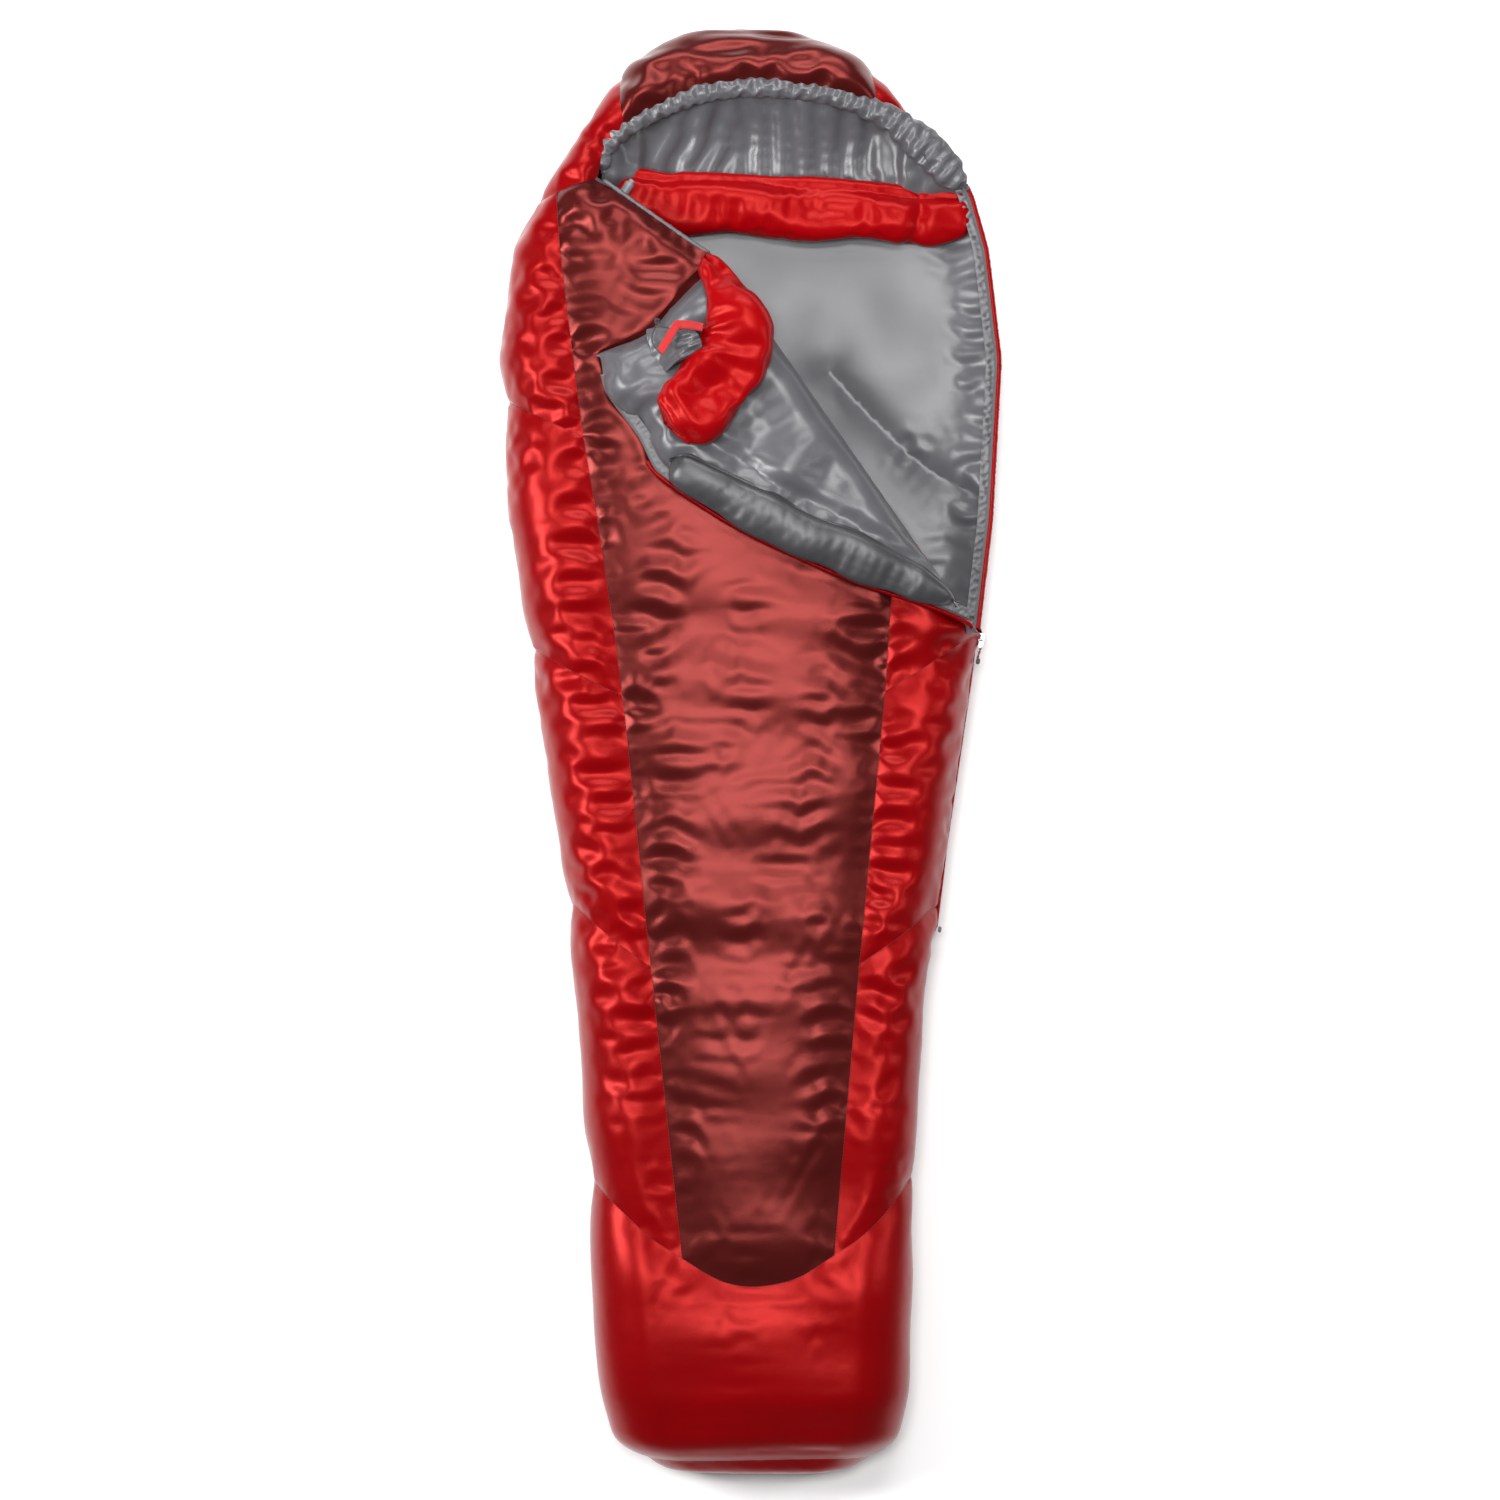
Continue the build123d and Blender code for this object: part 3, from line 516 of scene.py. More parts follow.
class Fold:
    """The folded corner over (u, a): a runs along the fold, u runs out from its crest.

    Where u is negative the cloth runs down inside the bag instead of over the folded corner.
    """

    def __init__(self):
        self.start, self.end = np.array(FOLD_TOP) * MM, np.array(FOLD_END) * MM
        self.length = np.linalg.norm(self.end - self.start)
        self.run = (self.end - self.start) / self.length
        self.out = np.array([self.run[1], -self.run[0]])
        self.radius = FOLD_RADIUS * MM
        self.spare = self.radius * (math.pi / 2 - 1)

    def unroll(self, points):
        """(u, a) for plan points in metres."""
        away = points - self.start
        b = np.clip(away @ self.out, 0, None)
        near = np.arccos(np.clip(1 - b / self.radius, 0, 1)) * self.radius
        return np.column_stack([np.where(b < self.radius, near, b + self.spare), away @ self.run])

    def rise(self, a):
        """Half the thickness of the fold, less at its two ends."""
        top, low = np.clip(a / 0.08, 0, 1), np.clip((self.length - a) / 0.13, 0, 1)
        return self.radius * (0.35 + 0.65 * top * (2 - top)) * (0.22 + 0.78 * low * (2 - low))

    def surface(self, uv):
        u, a = uv.T
        size = np.abs(u)
        turn = np.minimum(size / self.radius, math.pi / 2)
        b = np.where(size < self.radius * math.pi / 2, self.radius * (1 - np.cos(turn)), size - self.spare)
        drop = 14 * MM * np.clip((a - self.length + 0.07) / 0.07, 0, 1) ** 2
        z = FOLD_Z * MM + np.sign(u) * self.rise(a) * np.sin(turn) - drop
        return np.column_stack([self.start + a[:, None] * self.run + b[:, None] * self.out, z])


class Tube:
    """A soft oval tube over (u, v): u runs along its centre line and v round it, with v = 0 on top."""

    def __init__(self, path, sizes, ends):
        line = dense(path, 3) * MM
        knots = run_of(path)
        self.s = run_of(line)
        self.length = self.s[-1]
        ahead = unit(np.gradient(line, axis=0))
        left = np.column_stack([-ahead[:, 1], ahead[:, 0]])
        half, centre, high = (np.interp(self.s / self.length, knots / knots[-1], size) * MM for size in sizes)
        self.table = np.column_stack([line, left, half, centre, high])
        self.girth = 2 * math.pi * math.sqrt((half.max() ** 2 + high.max() ** 2) / 2)
        self.ends = ends

    def surface(self, uv):
        x, y, left_x, left_y, half, centre, high = (np.interp(uv[:, 0], self.s, c) for c in self.table.T)
        near_end = np.clip(np.minimum(uv[:, 0], self.length - uv[:, 0]) / self.ends, 0.01, 1)
        shrink = np.sqrt(1 - (1 - near_end) ** 2)
        turn = uv[:, 1] / self.girth * 2 * math.pi
        across = np.sin(turn) * half * shrink
        z = centre + np.cos(turn) * high * shrink
        return np.column_stack([x + left_x * across, y + left_y * across, z])

    def cloth(self, spacing, seams=(), seed=1):
        """The tube's cloth, joined underneath. Seams are (share of length, share of half girth) pairs."""
        size = np.array([self.length, self.girth / 2])
        corners = np.array([(0, -1), (1, -1), (1, 1), (0, 1), (0, -1)]) * size
        sides = [dense(corners[i:i + 2], spacing, smooth=False)[:-1] for i in range(4)]
        lines = [dense(np.array(seam) * size, spacing, smooth=False) for seam in seams]
        return Cloth(np.vstack(sides), lines, spacing=spacing, seed=seed)


FOLD = Fold()


def plan(points, smooth=True, step=SPACING):
    """A line on the bag's top, from plan points in mm."""
    return BAG.locate(dense(points, step / MM, smooth))


def inset(points, amounts):
    """An open plan line moved to its right, by an amount for each corner."""
    p = np.array(points, float)
    ahead = unit(np.gradient(p, axis=0))
    return p + np.column_stack([ahead[:, 1], -ahead[:, 0]]) * np.array(amounts, float)[:, None]


def flap_outline(edge=ZIP_EDGE, step=5):
    """The folded corner's outline in plan, in mm, from the top of the fold round to its end."""
    corner = (-222, 580)
    upper = dense([FOLD_TOP, *FLAP_TIP[::-1][:-1], corner], step)
    lower = dense([corner, FLAP_TIP[0], *edge[::-1], FOLD_END], step)
    return np.vstack([upper, lower[1:]])


def down(line, level):
    """Carries a shell seam from its last point on down the side, to a height."""
    s, t = line[-1]
    side = 1 if s > 0 else -1
    _, _, flat, r, h = BAG.section(t)
    end = flat + r * math.acos(max(-1, (level * MM - h / 2) / (h / 2)))
    return np.vstack([line, dense([(s, t), (side * end, t)], smooth=False)[1:]])


def shell_seams():
    """The seams between the panels of the outer shell."""
    seams = [plan(LEFT_SEAM), plan(RIGHT_SEAM, smooth=False)]
    seams += [down(plan(line, smooth=False), UNDERSIDE_Z) for line in LEFT_CROSS]
    seams += [down(plan(line, smooth=False), ZIP_Z - 2) for line in RIGHT_CROSS]
    seams.append(down(down(plan(FOOT_SEAM), UNDERSIDE_Z)[::-1], UNDERSIDE_Z))
    seams.append(down(plan(SHOULDER_SEAM), UNDERSIDE_Z))
    end_t = BAG.t_at(FOOT_END_Y * MM)
    reach = BAG.along(FOOT_END_Y - 1, FOOT_END_Y + 1, UNDERSIDE_Z, 1)[0, 0]
    seams.append(dense([(-reach, end_t), (reach, end_t)], smooth=False))
    seams += [down(plan(line), CROWN_SEAM_Z + 10) for line in HOOD_SEAMS]
    falling = np.linspace(ZIP_Z, CROWN_SEAM_Z, 400)
    seams.append(BAG.along(SHOULDER_SEAM[-1][1], END_Y, falling, -1))
    seams.append(BAG.along(HOOD_SIDE[-1][1], END_Y, falling, 1))
    seams.append(BAG.along(FOOT_SEAM[-2][1] - 1, FOLD_END[1], ZIP_Z, 1))
    seams.append(down(BAG.along(HOOD_SIDE[-1][1] - 1, HOOD_SIDE[-1][1], ZIP_Z, 1)[:1], UNDERSIDE_Z))
    return seams


def make_shell():
    """The outer shell's cloth, with the opening at the neck and zip left out."""
    left = BAG.along(-END_Y, END_Y, UNDERSIDE_Z, -1)
    right = BAG.along(-END_Y, END_Y, UNDERSIDE_Z, 1)
    rim = [(x + dx, y + dy) for (x, y), (dx, dy) in zip(RIM_POINTS, UNDER_RIM)]
    hole = np.vstack([
        plan(NECK_EDGE), plan([FOLD_TOP, FOLD_END], smooth=False)[1:],
        BAG.along(FOLD_END[1], HOOD_SIDE[-1][1], ZIP_Z, 1)[1:-1], plan([*HOOD_SIDE[::-1], *rim[::-1]]),
    ])
    return Cloth(np.vstack([left[::-1], right]), shell_seams(), [hole], spacing=13 * MM, seed=3)


PANEL_SEEDS = {
    "top_centre_panel": (0, 0), "left_side_panel_1": (-320, 640), "left_side_panel_2": (-290, 330),
    "left_side_panel_3": (-240, -60), "left_side_panel_4": (-205, -450), "right_side_panel_1": (262, 190),
    "right_side_panel_2": (265, 0), "right_side_panel_3": (200, -420), "foot_box_panel": (0, -900),
    "foot_end_panel": (0, -1064), "hood_top_panel": (0, 1020), "hood_left_panel": (-235, 905),
    "hood_right_panel": (232, 945),
}
LOW_SEEDS = [("hood_back_panel", 930, -1), ("hood_back_panel", 930, 1), ("right_base_panel", 400, 1)]
LOW_SEED_Z = 36
HIDDEN_BY = {
    "top_centre_panel": ("top_insulation", "top_lining"),
    "foot_box_panel": ("foot_insulation_base", "foot_insulation_top", "foot_lining"),
    "hood_top_panel": ("hood_insulation", "hood_lining"),
    "base_lining": ("base_insulation",),
}
# The cloth of each panel and its finish in the record. The others are red.
PANEL_CLOTHS = {
    "top_centre_panel": ("maroon", "maroon_shell"), "hood_top_panel": ("maroon", "maroon_shell"),
    "flap_centre_panel": ("maroon", "maroon_shell"), "base_lining": ("grey", "grey_lining"),
    "hood_back_lining": ("grey", "grey_lining"),
}


def belong(piece, body, nodes=()):
    """Says which body a piece moves with, and which plain nodes it stands for."""
    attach(piece, body)
    if nodes:
        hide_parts(*nodes)
    return piece


def add_panels(cloth, seeds, body, materials):
    """Makes a piece of each named panel, found from a point or more inside it."""
    middle = cloth.uv[cloth.tris].mean(axis=1)
    found = {}
    for name, point in seeds:
        label = cloth.labels[np.argmin(np.linalg.norm(middle - point, axis=1))]
        found.setdefault(name, {})[label] = cloth.tris[cloth.labels == label]
    for name, tris in found.items():
        material, finish = PANEL_CLOTHS.get(name, ("red", "red_shell"))
        piece = cut_piece(f"cloth_{name}", cloth, np.vstack(list(tris.values())), materials[material])
        belong(piece, body, (name, *HIDDEN_BY.get(name, ())))


def build_shell(materials):
    """Makes the panels of the outer shell, and gives back their cloth."""
    cloth = make_shell()
    uv = cloth.uv
    p = BAG.surface(uv)
    neck, rim = plan(NECK_EDGE), plan([*RIM_POINTS[:6], *HOOD_SIDE])
    fold = plan([FOLD_TOP, FOLD_END], smooth=False)
    zip_side = BAG.along(COIL_END_Y, 850, ZIP_Z, 1)
    flap = flap_outline() * MM
    plan_xy = p[:, :2]
    under = inside(plan_xy, flap) & (p[:, 2] > ZIP_Z * MM)
    fold_gap = nearest(uv, fold)
    _, _, flat, r, _ = BAG.section(uv[:, 1])
    top = 1 - 0.6 * np.clip((np.abs(uv[:, 0]) - flat) / (1.3 * r), 0, 1)
    centre = inside(uv, np.vstack([plan(LEFT_SEAM), plan(RIGHT_SEAM, False)[::-1], fold[:1]]))
    # Height: soft lumps, the top's own slope, dips at the neck, rim and folded corner, rises at fold and zip.
    relief = 1.7 * MM * top * lumps(uv, 0.15, 2.2, 11)
    level = np.interp(p[:, 1], *(np.array(LEVEL).T * MM))
    relief += level * np.clip(1 - (np.abs(uv[:, 0]) - flat) / r, 0, 1)
    relief += -9 * MM * near_line(uv, neck, 15 * MM) - 13 * MM * near_line(uv, rim, 20 * MM)
    relief += 9 * MM * np.exp(-((fold_gap / (18 * MM)) ** 2)) + 7 * MM * near_line(uv, zip_side, 22 * MM)
    relief -= 14 * MM * under * np.clip(nearest(plan_xy, flap) / 0.03, 0, 1) * np.clip(fold_gap / 0.04, 0, 1)
    cloth.lay(BAG.surface, puff=11 * MM, reach=42 * MM, depth=SEAM_DEPTH, relief=relief)
    tip = np.clip((END_Y * MM - np.abs(p[:, 1])) / (14 * MM), 0, 1)[:, None]
    cloth.home = p + (cloth.home - p) * tip
    # The spare cloth: most along the seams and the rim, little at the foot, and uneven everywhere.
    calm = 1 - 0.8 * np.clip((-0.35 - p[:, 1]) / 0.3, 0, 1)
    chest = np.clip((p[:, 1] - 0.3) / 0.3, 0, 1)
    uneven = np.clip(np.where(centre, 0.35, 0.9) + 0.75 * lumps(uv, 0.12, 0.8, 5), 0, 2.2) * top
    gather = np.exp(-cloth.gap / np.where(centre, 0.036, 0.060)) * calm
    along = 1.002 + (0.012 * calm + 0.060 * gather) * uneven + 0.006 * chest
    across = 1.005 + 0.06 * near_line(uv, rim, 45 * MM) + 0.03 * near_line(uv, neck, 60 * MM)
    cloth.relax(over=(across, along), hold=0.010, cap=20 * MM, noise=4 * MM, wave=0.075, stretch=2.0,
                bend=0.9)
    cloth.crease(0.028)
    seeds = [(name, BAG.locate([point])[0]) for name, point in PANEL_SEEDS.items()]
    seeds += [(name, BAG.along(y, y + 1, LOW_SEED_Z, side)[0]) for name, y, side in LOW_SEEDS]
    add_panels(cloth, seeds, "bag", materials)
    return cloth


def build_underside(materials):
    """The flat panel that the bag lies on."""
    left = BAG.along(-END_Y, END_Y, UNDERSIDE_Z, -1, 15 * MM)
    _, _, flat, r, _ = BAG.section(left[:, 1])
    reach = flat + r * math.pi - np.abs(left[:, 0]) + flat
    side = np.column_stack([reach, left[:, 1]])
    outline = np.vstack([side * [-1, 1], side[::-1]])
    cloth = Cloth(outline, spacing=15 * MM)
    cloth.lay(BAG.underside, puff=SEAM_DEPTH, depth=SEAM_DEPTH, reach=25 * MM)
    cloth.co = cloth.home
    cloth.co[:, 1] = np.clip(cloth.co[:, 1], -END_Y * MM, END_Y * MM)
    piece = cut_piece("cloth_underside_panel", cloth, cloth.tris, materials["red"])
    belong(piece, "bag", ("underside_panel",))


# ---------------------------------------------------------------- inside of the bag
def side_line(y0, y1, level=ZIP_Z, out=0.0, step=SPACING):
    """A 3-D line on the zip side at one height, moved out from the bag."""
    line = BAG.along(y0, y1, level, 1, step)
    p = BAG.surface(line)
    normal = np.cross(BAG.surface(line + [MM, 0]) - p, BAG.surface(line + [0, MM]) - p)
    return p + unit(normal) * out


def build_lining(materials):
    """The lining that the sleeper lies on, and the hood's lining behind it."""
    side = side_line(SLIDER_Y, 835)[:, :2]
    edge = [*side[::4] / MM, (322, 838), *HOOD_SIDE[::-1][1:], *RIM_POINTS[5::-1], (-226, 800), (-150, 730)]
    edge += [FOLD.start / MM + FOLD.out * 70, FOLD.end / MM + FOLD.out * 60]
    outline = dense(np.vstack([edge, edge[:1]]), 5, smooth=False)[:-1] * MM
    rim = dense(RIM_POINTS[:6] + HOOD_SIDE[:3], 6) * MM
    split = dense(LINING_SPLIT, 5, smooth=False) * MM
    quilt = dense(QUILT_SEAM, 5) * MM

    def height(p):
        climb = np.exp(-((nearest(p, side) / 0.036) ** 1.6))
        rise = np.exp(-((nearest(p, rim) / 0.05) ** 1.3))
        return (44 + np.hypot(31 * climb, 62 * rise)) * MM

    cloth = Cloth(outline, [split, quilt], seed=21)
    hood = np.clip((cloth.uv[:, 1] - 0.80) / 0.04, 0, 1)
    edge_near = near_line(cloth.uv, side, 70 * MM)
    relief = (0.7 + 1.8 * hood) * MM * lumps(cloth.uv, 0.14, 1.0, 23)
    cloth.lay(lambda p: np.column_stack([p, height(p)]), puff=11 * MM, reach=30 * MM, depth=4 * MM,
              relief=relief)
    uneven = np.clip(0.6 + 0.8 * lumps(cloth.uv, 0.09, 1.0, 27), 0, 2)
    near_quilt = near_line(cloth.uv, quilt, 30 * MM) * uneven
    across = 1.002 + 0.075 * hood + 0.016 * near_quilt
    along = 1.002 + 0.014 * hood + 0.045 * edge_near * uneven + 0.016 * near_quilt
    cloth.relax(over=(across, along), hold=0.012, cap=16 * MM, noise=2 * MM, wave=0.06, stretch=1.6, bend=0.9,
                seed=29)
    seeds = [("base_lining", (0.15, 0.7)), ("base_lining", (0.3, 0.3)), ("hood_back_lining", (0, 0.9))]
    add_panels(cloth, seeds, "bag", materials)


def build_neck_lining(materials):
    """The top layer's own lining, from the neck edge down inside the bag."""
    edge = dense([*NECK_EDGE[:-1], (-64, 731)], 6)
    rows = []
    rng = np.random.default_rng(5)
    for i, depth in enumerate(np.linspace(0, 130, 14)):
        z = 128 - 30 * (1 - math.exp(-depth / 12)) + 3 * rng.normal(size=len(edge)) * (i > 1)
        rows.append(np.column_stack([inset(edge, [depth + 1] * len(edge)), z]) * MM)
    piece = grid_piece("cloth_neck_lining", rows, materials["grey"])
    belong(piece, "bag", ())


# ---------------------------------------------------------------- folded corner
def build_fold(materials):
    """The lining over the fold: down inside the bag on one side, over the folded corner on the other."""
    edge = inset(ZIP_EDGE[::-1], LINING_INSET)[::-1]
    outline = FOLD.unroll(flap_outline(edge, SPACING / MM) * MM)
    crest = dense([(0, FOLD.length), (0, 0)], SPACING, smooth=False)
    outline[0], outline[-1] = crest[-1], crest[0]
    inner = [(0, 0), (-0.10, 0.02), (-0.10, FOLD.length - 0.03), (0, FOLD.length)]
    inner = np.vstack([dense(inner[i:i + 2], SPACING, smooth=False)[:-1] for i in range(3)])
    tube_seam = FOLD.unroll(dense(TUBE_SEAM, 5) * MM)
    rim = outline[1:-1]
    for name, shape, seams, seed in (("flap", np.vstack([outline, crest[1:-1]]), [tube_seam], 41),
                                     ("inner", np.vstack([inner, crest[:-1]]), [], 43)):
        cloth = Cloth(shape, seams, spacing=SPACING * 0.9, seed=seed)
        free = 1 - np.exp(-((cloth.uv[:, 0] / 0.035) ** 2))
        rim_gap = nearest(cloth.uv, rim)
        bulge = 8 * MM * (1 - np.exp(-rim_gap / 0.03))
        relief = free * (bulge + 4 * MM * lumps(cloth.uv, 0.1, 1.2, seed + 1))
        if name == "flap":
            relief -= 17 * MM * np.clip(1 - rim_gap / 0.03, 0, 1) ** 1.5 * free
            relief -= 7 * MM * near_line(cloth.uv, tube_seam, 12 * MM) * free
        cloth.lay(FOLD.surface, relief=relief)
        cloth.gap = np.minimum(cloth.gap, rim_gap)
        wild = np.exp(-rim_gap / 0.06)
        cloth.relax(over=(1.008 + 0.03 * wild, 1.01 + 0.05 * wild), hold=0.01, cap=16 * MM, noise=4 * MM,
                    wave=0.07, stretch=1.6, bend=0.9, seed=seed + 2)
        piece = cut_piece(f"cloth_fold_{name}", cloth, cloth.tris, materials["grey"])
        if name == "flap":
            belong(piece, "flap", ("flap_lining", "flap_insulation"))
        else:
            belong(piece, "bag", ("fold_lining", "fold_insulation", "fold_shell"))


def build_flap_shell(materials):
    """The folded corner's outer cloth, which faces down while the corner is folded back."""
    outline = flap_outline() * MM
    shape = np.vstack([outline, dense([FOLD_END, FOLD_TOP], 5, smooth=False)[1:-1] * MM])
    seam = dense(FLAP_SEAM, 5, smooth=False) * MM
    cloth = Cloth(shape, [seam], seed=51)
    edge_gap = nearest(cloth.uv, outline)
    from_fold = (cloth.uv - FOLD.start) @ FOLD.out

    def under(p):
        rise = 9 * MM * np.exp(-edge_gap / 0.018)
        return np.column_stack([p, FLAP_REST + 0.6 * (BAG.top_at(p) - FLAP_REST) + rise])

    cloth.lay(under, puff=-5 * MM, reach=0.04, puff_lines=np.vstack([outline, seam]))
    cloth.home[:, 2] = np.where(from_fold < 0.004, FOLD_Z * MM - 0.001, cloth.home[:, 2])
    cloth.relax(over=(1.015, 1.035), hold=0.014, cap=9 * MM, noise=3 * MM, wave=0.06, stretch=2.0, seed=53)
    seeds = [("flap_centre_panel", (-0.08, 0.6)), ("flap_side_panel", (0.1, 0.32))]
    add_panels(cloth, seeds, "flap", materials)


def soft_tube(name, tube, material, spacing, seams, seed, sag=0.0, **folds):
    """A padded tube of cloth, drawn in along its seams; folds are relax's settings."""
    cloth = tube.cloth(spacing, seams, seed)
    cloth.lay(tube.surface, relief=sag * lumps(cloth.uv, 0.08, 1.5, seed + 1))
    cloth.home -= cloth.normal * (6 * MM * near_line(cloth.uv, cloth.uv[cloth.on_line], 12 * MM))[:, None]
    cloth.relax(hold=0.012, seed=seed + 2, **folds)
    return cut_piece(name, cloth, cloth.tris, material)


def build_tubes(materials):
    """The hood's gathered rim, the draught collars and the draught tube."""
    rim = Tube([*RIM_POINTS[:7], *RIM_TAIL], RIM_SIZES, ends=12 * MM)
    piece = soft_tube("cloth_hood_rim", rim, materials["grey"], SPACING * 0.55, [], 61,
                      over=(1.13, 1.02), cap=8 * MM, noise=2.2 * MM, wave=0.032, stretch=0.7, bend=0.4)
    belong(piece, "bag", ("hood_rim_tube",))
    base = Tube(BASE_COLLAR, BASE_COLLAR_SIZES, ends=20 * MM)
    seams = [[(0, 0.25), (0.97, 0.25)], [(0.83, -0.42), (0.85, 0.1), (0.83, 0.5)]]
    piece = soft_tube("cloth_base_collar", base, materials["collar"], SPACING * 0.9, seams, 65, sag=3 * MM,
                      over=(1.03, 1.05), cap=12 * MM, noise=3 * MM, wave=0.07, stretch=0.6, bend=0.8)
    belong(piece, "bag", ("base_draught_collar",))
    corner = Tube(FLAP_COLLAR, FLAP_COLLAR_SIZES, ends=14 * MM)
    seams = [[(0.94, -1), (0.94, 1)]]
    piece = soft_tube("cloth_flap_collar", corner, materials["collar"], SPACING * 0.9, seams, 69, sag=4 * MM,
                      over=(1.05, 1.03), cap=12 * MM, noise=3 * MM, wave=0.06, stretch=1.2, bend=0.8)
    belong(piece, "flap", ("flap_draught_collar",))
    draught = Tube(DRAUGHT_TUBE, DRAUGHT_TUBE_SIZES, ends=30 * MM)
    seams = [[(0.02, 0.42), (0.97, 0.42)]]
    piece = soft_tube("cloth_draught_tube", draught, materials["dark"], SPACING * 0.7, seams, 73, sag=2 * MM,
                      over=(1.022, 1.01), cap=8 * MM, noise=2 * MM, wave=0.07, stretch=0.6, bend=0.9)
    belong(piece, "flap", ("flap_draught_tube",))


# ---------------------------------------------------------------- edges, zips and small pieces
def grid_piece(name, rows, material):
    """A strip or sheet from rows of points."""
    rows = np.array(rows)
    n, m = rows.shape[:2]
    index = np.arange(n * m).reshape(n, m)
    faces = np.stack([index[:-1, :-1], index[:-1, 1:], index[1:, 1:], index[1:, :-1]], axis=-1).reshape(-1, 4)
    return mesh_piece(name, rows.reshape(-1, 3), faces, material)


def frames(line):
    """Direction, side and up vectors at each point of a 3-D line."""
    along = unit(np.gradient(line, axis=0))
    side = unit(np.cross([0, 0, 1.0], along), 1e-12)
    return along, side, np.cross(along, side)


def tube_faces(rings, sides):
    """The faces of a closed tube whose vertices go round it ring by ring."""
    faces = []
    for start in range(0, (rings - 1) * sides, sides):
        for j in range(sides):
            a, b = start + j, start + (j + 1) % sides
            faces.append((a, b, b + sides, a + sides))
    return [*faces, tuple(range(sides))[::-1], tuple(range((rings - 1) * sides, rings * sides))]


def pipe(name, line, radius, material, gather=0.0, seed=1, sides=12):
    """A round edge of cloth or cord along a 3-D line, with closed ends."""
    _, side, up = frames(line)
    turn = np.linspace(0, 2 * math.pi, sides, endpoint=False)
    rng = np.random.default_rng(seed)
    size = radius * (1 + gather * rng.normal(size=(len(line), sides)) * 0.5
                     + gather * rng.normal(size=(len(line), 1)))
    size[[0, -1]] *= 0.15
    cos, sin = np.cos(turn)[:, None], np.sin(turn)[:, None]
    co = np.vstack([p + r[:, None] * (cos * a + sin * b) for p, r, a, b in zip(line, size, side, up)])
    return mesh_piece(name, co, tube_faces(len(line), sides), material)


def strip(name, near, far, material, thick=0.0012, ripple=0.0, wave=0.012, seed=1, rows=7):
    """A flat band between two 3-D lines, with two faces, rippled across."""
    share = np.linspace(0, 1, rows)[:, None, None]
    mid = near[None] * (1 - share) + far[None] * share
    uv = np.stack(np.broadcast_arrays(run_of(near), share[:, :, 0] * 20 * MM), axis=-1)
    bump = ripple * lumps(uv.reshape(-1, 2), wave, 0.5, seed).reshape(mid.shape[:2])
    mid[:, :, 2] += bump * np.sin(share[:, :, 0] * math.pi)
    low = mid - [0, 0, thick]
    return grid_piece(name, [*mid, *low[::-1], mid[0]], material)


def teeth(name, line, out, material, pitch=0.0026, size=(0.0016, 0.0042, 0.003)):
    """A zip's row of teeth: small blocks along a 3-D line."""
    run = run_of(line)
    points = points_at(np.arange(pitch / 2, run[-1], pitch), run, line)
    corners = [(x, y, z) for x in (-0.5, 0.5) for y in (-0.5, 0.5) for z in (-0.5, 0.5)]
    sides = [(0, 1, 3, 2), (4, 6, 7, 5), (0, 4, 5, 1), (2, 3, 7, 6), (0, 2, 6, 4), (1, 5, 7, 3)]
    co, faces = [], []
    for i, (p, a, s, n) in enumerate(zip(points, *frames(points))):
        shift = out * s * (1 if i % 2 else 0.6)
        co += [p + shift + x * size[0] * a + y * size[1] * s + z * size[2] * n for x, y, z in corners]
        faces += [tuple(8 * i + k for k in side) for side in sides]
    return mesh_piece(name, co, faces, material, smooth=False)


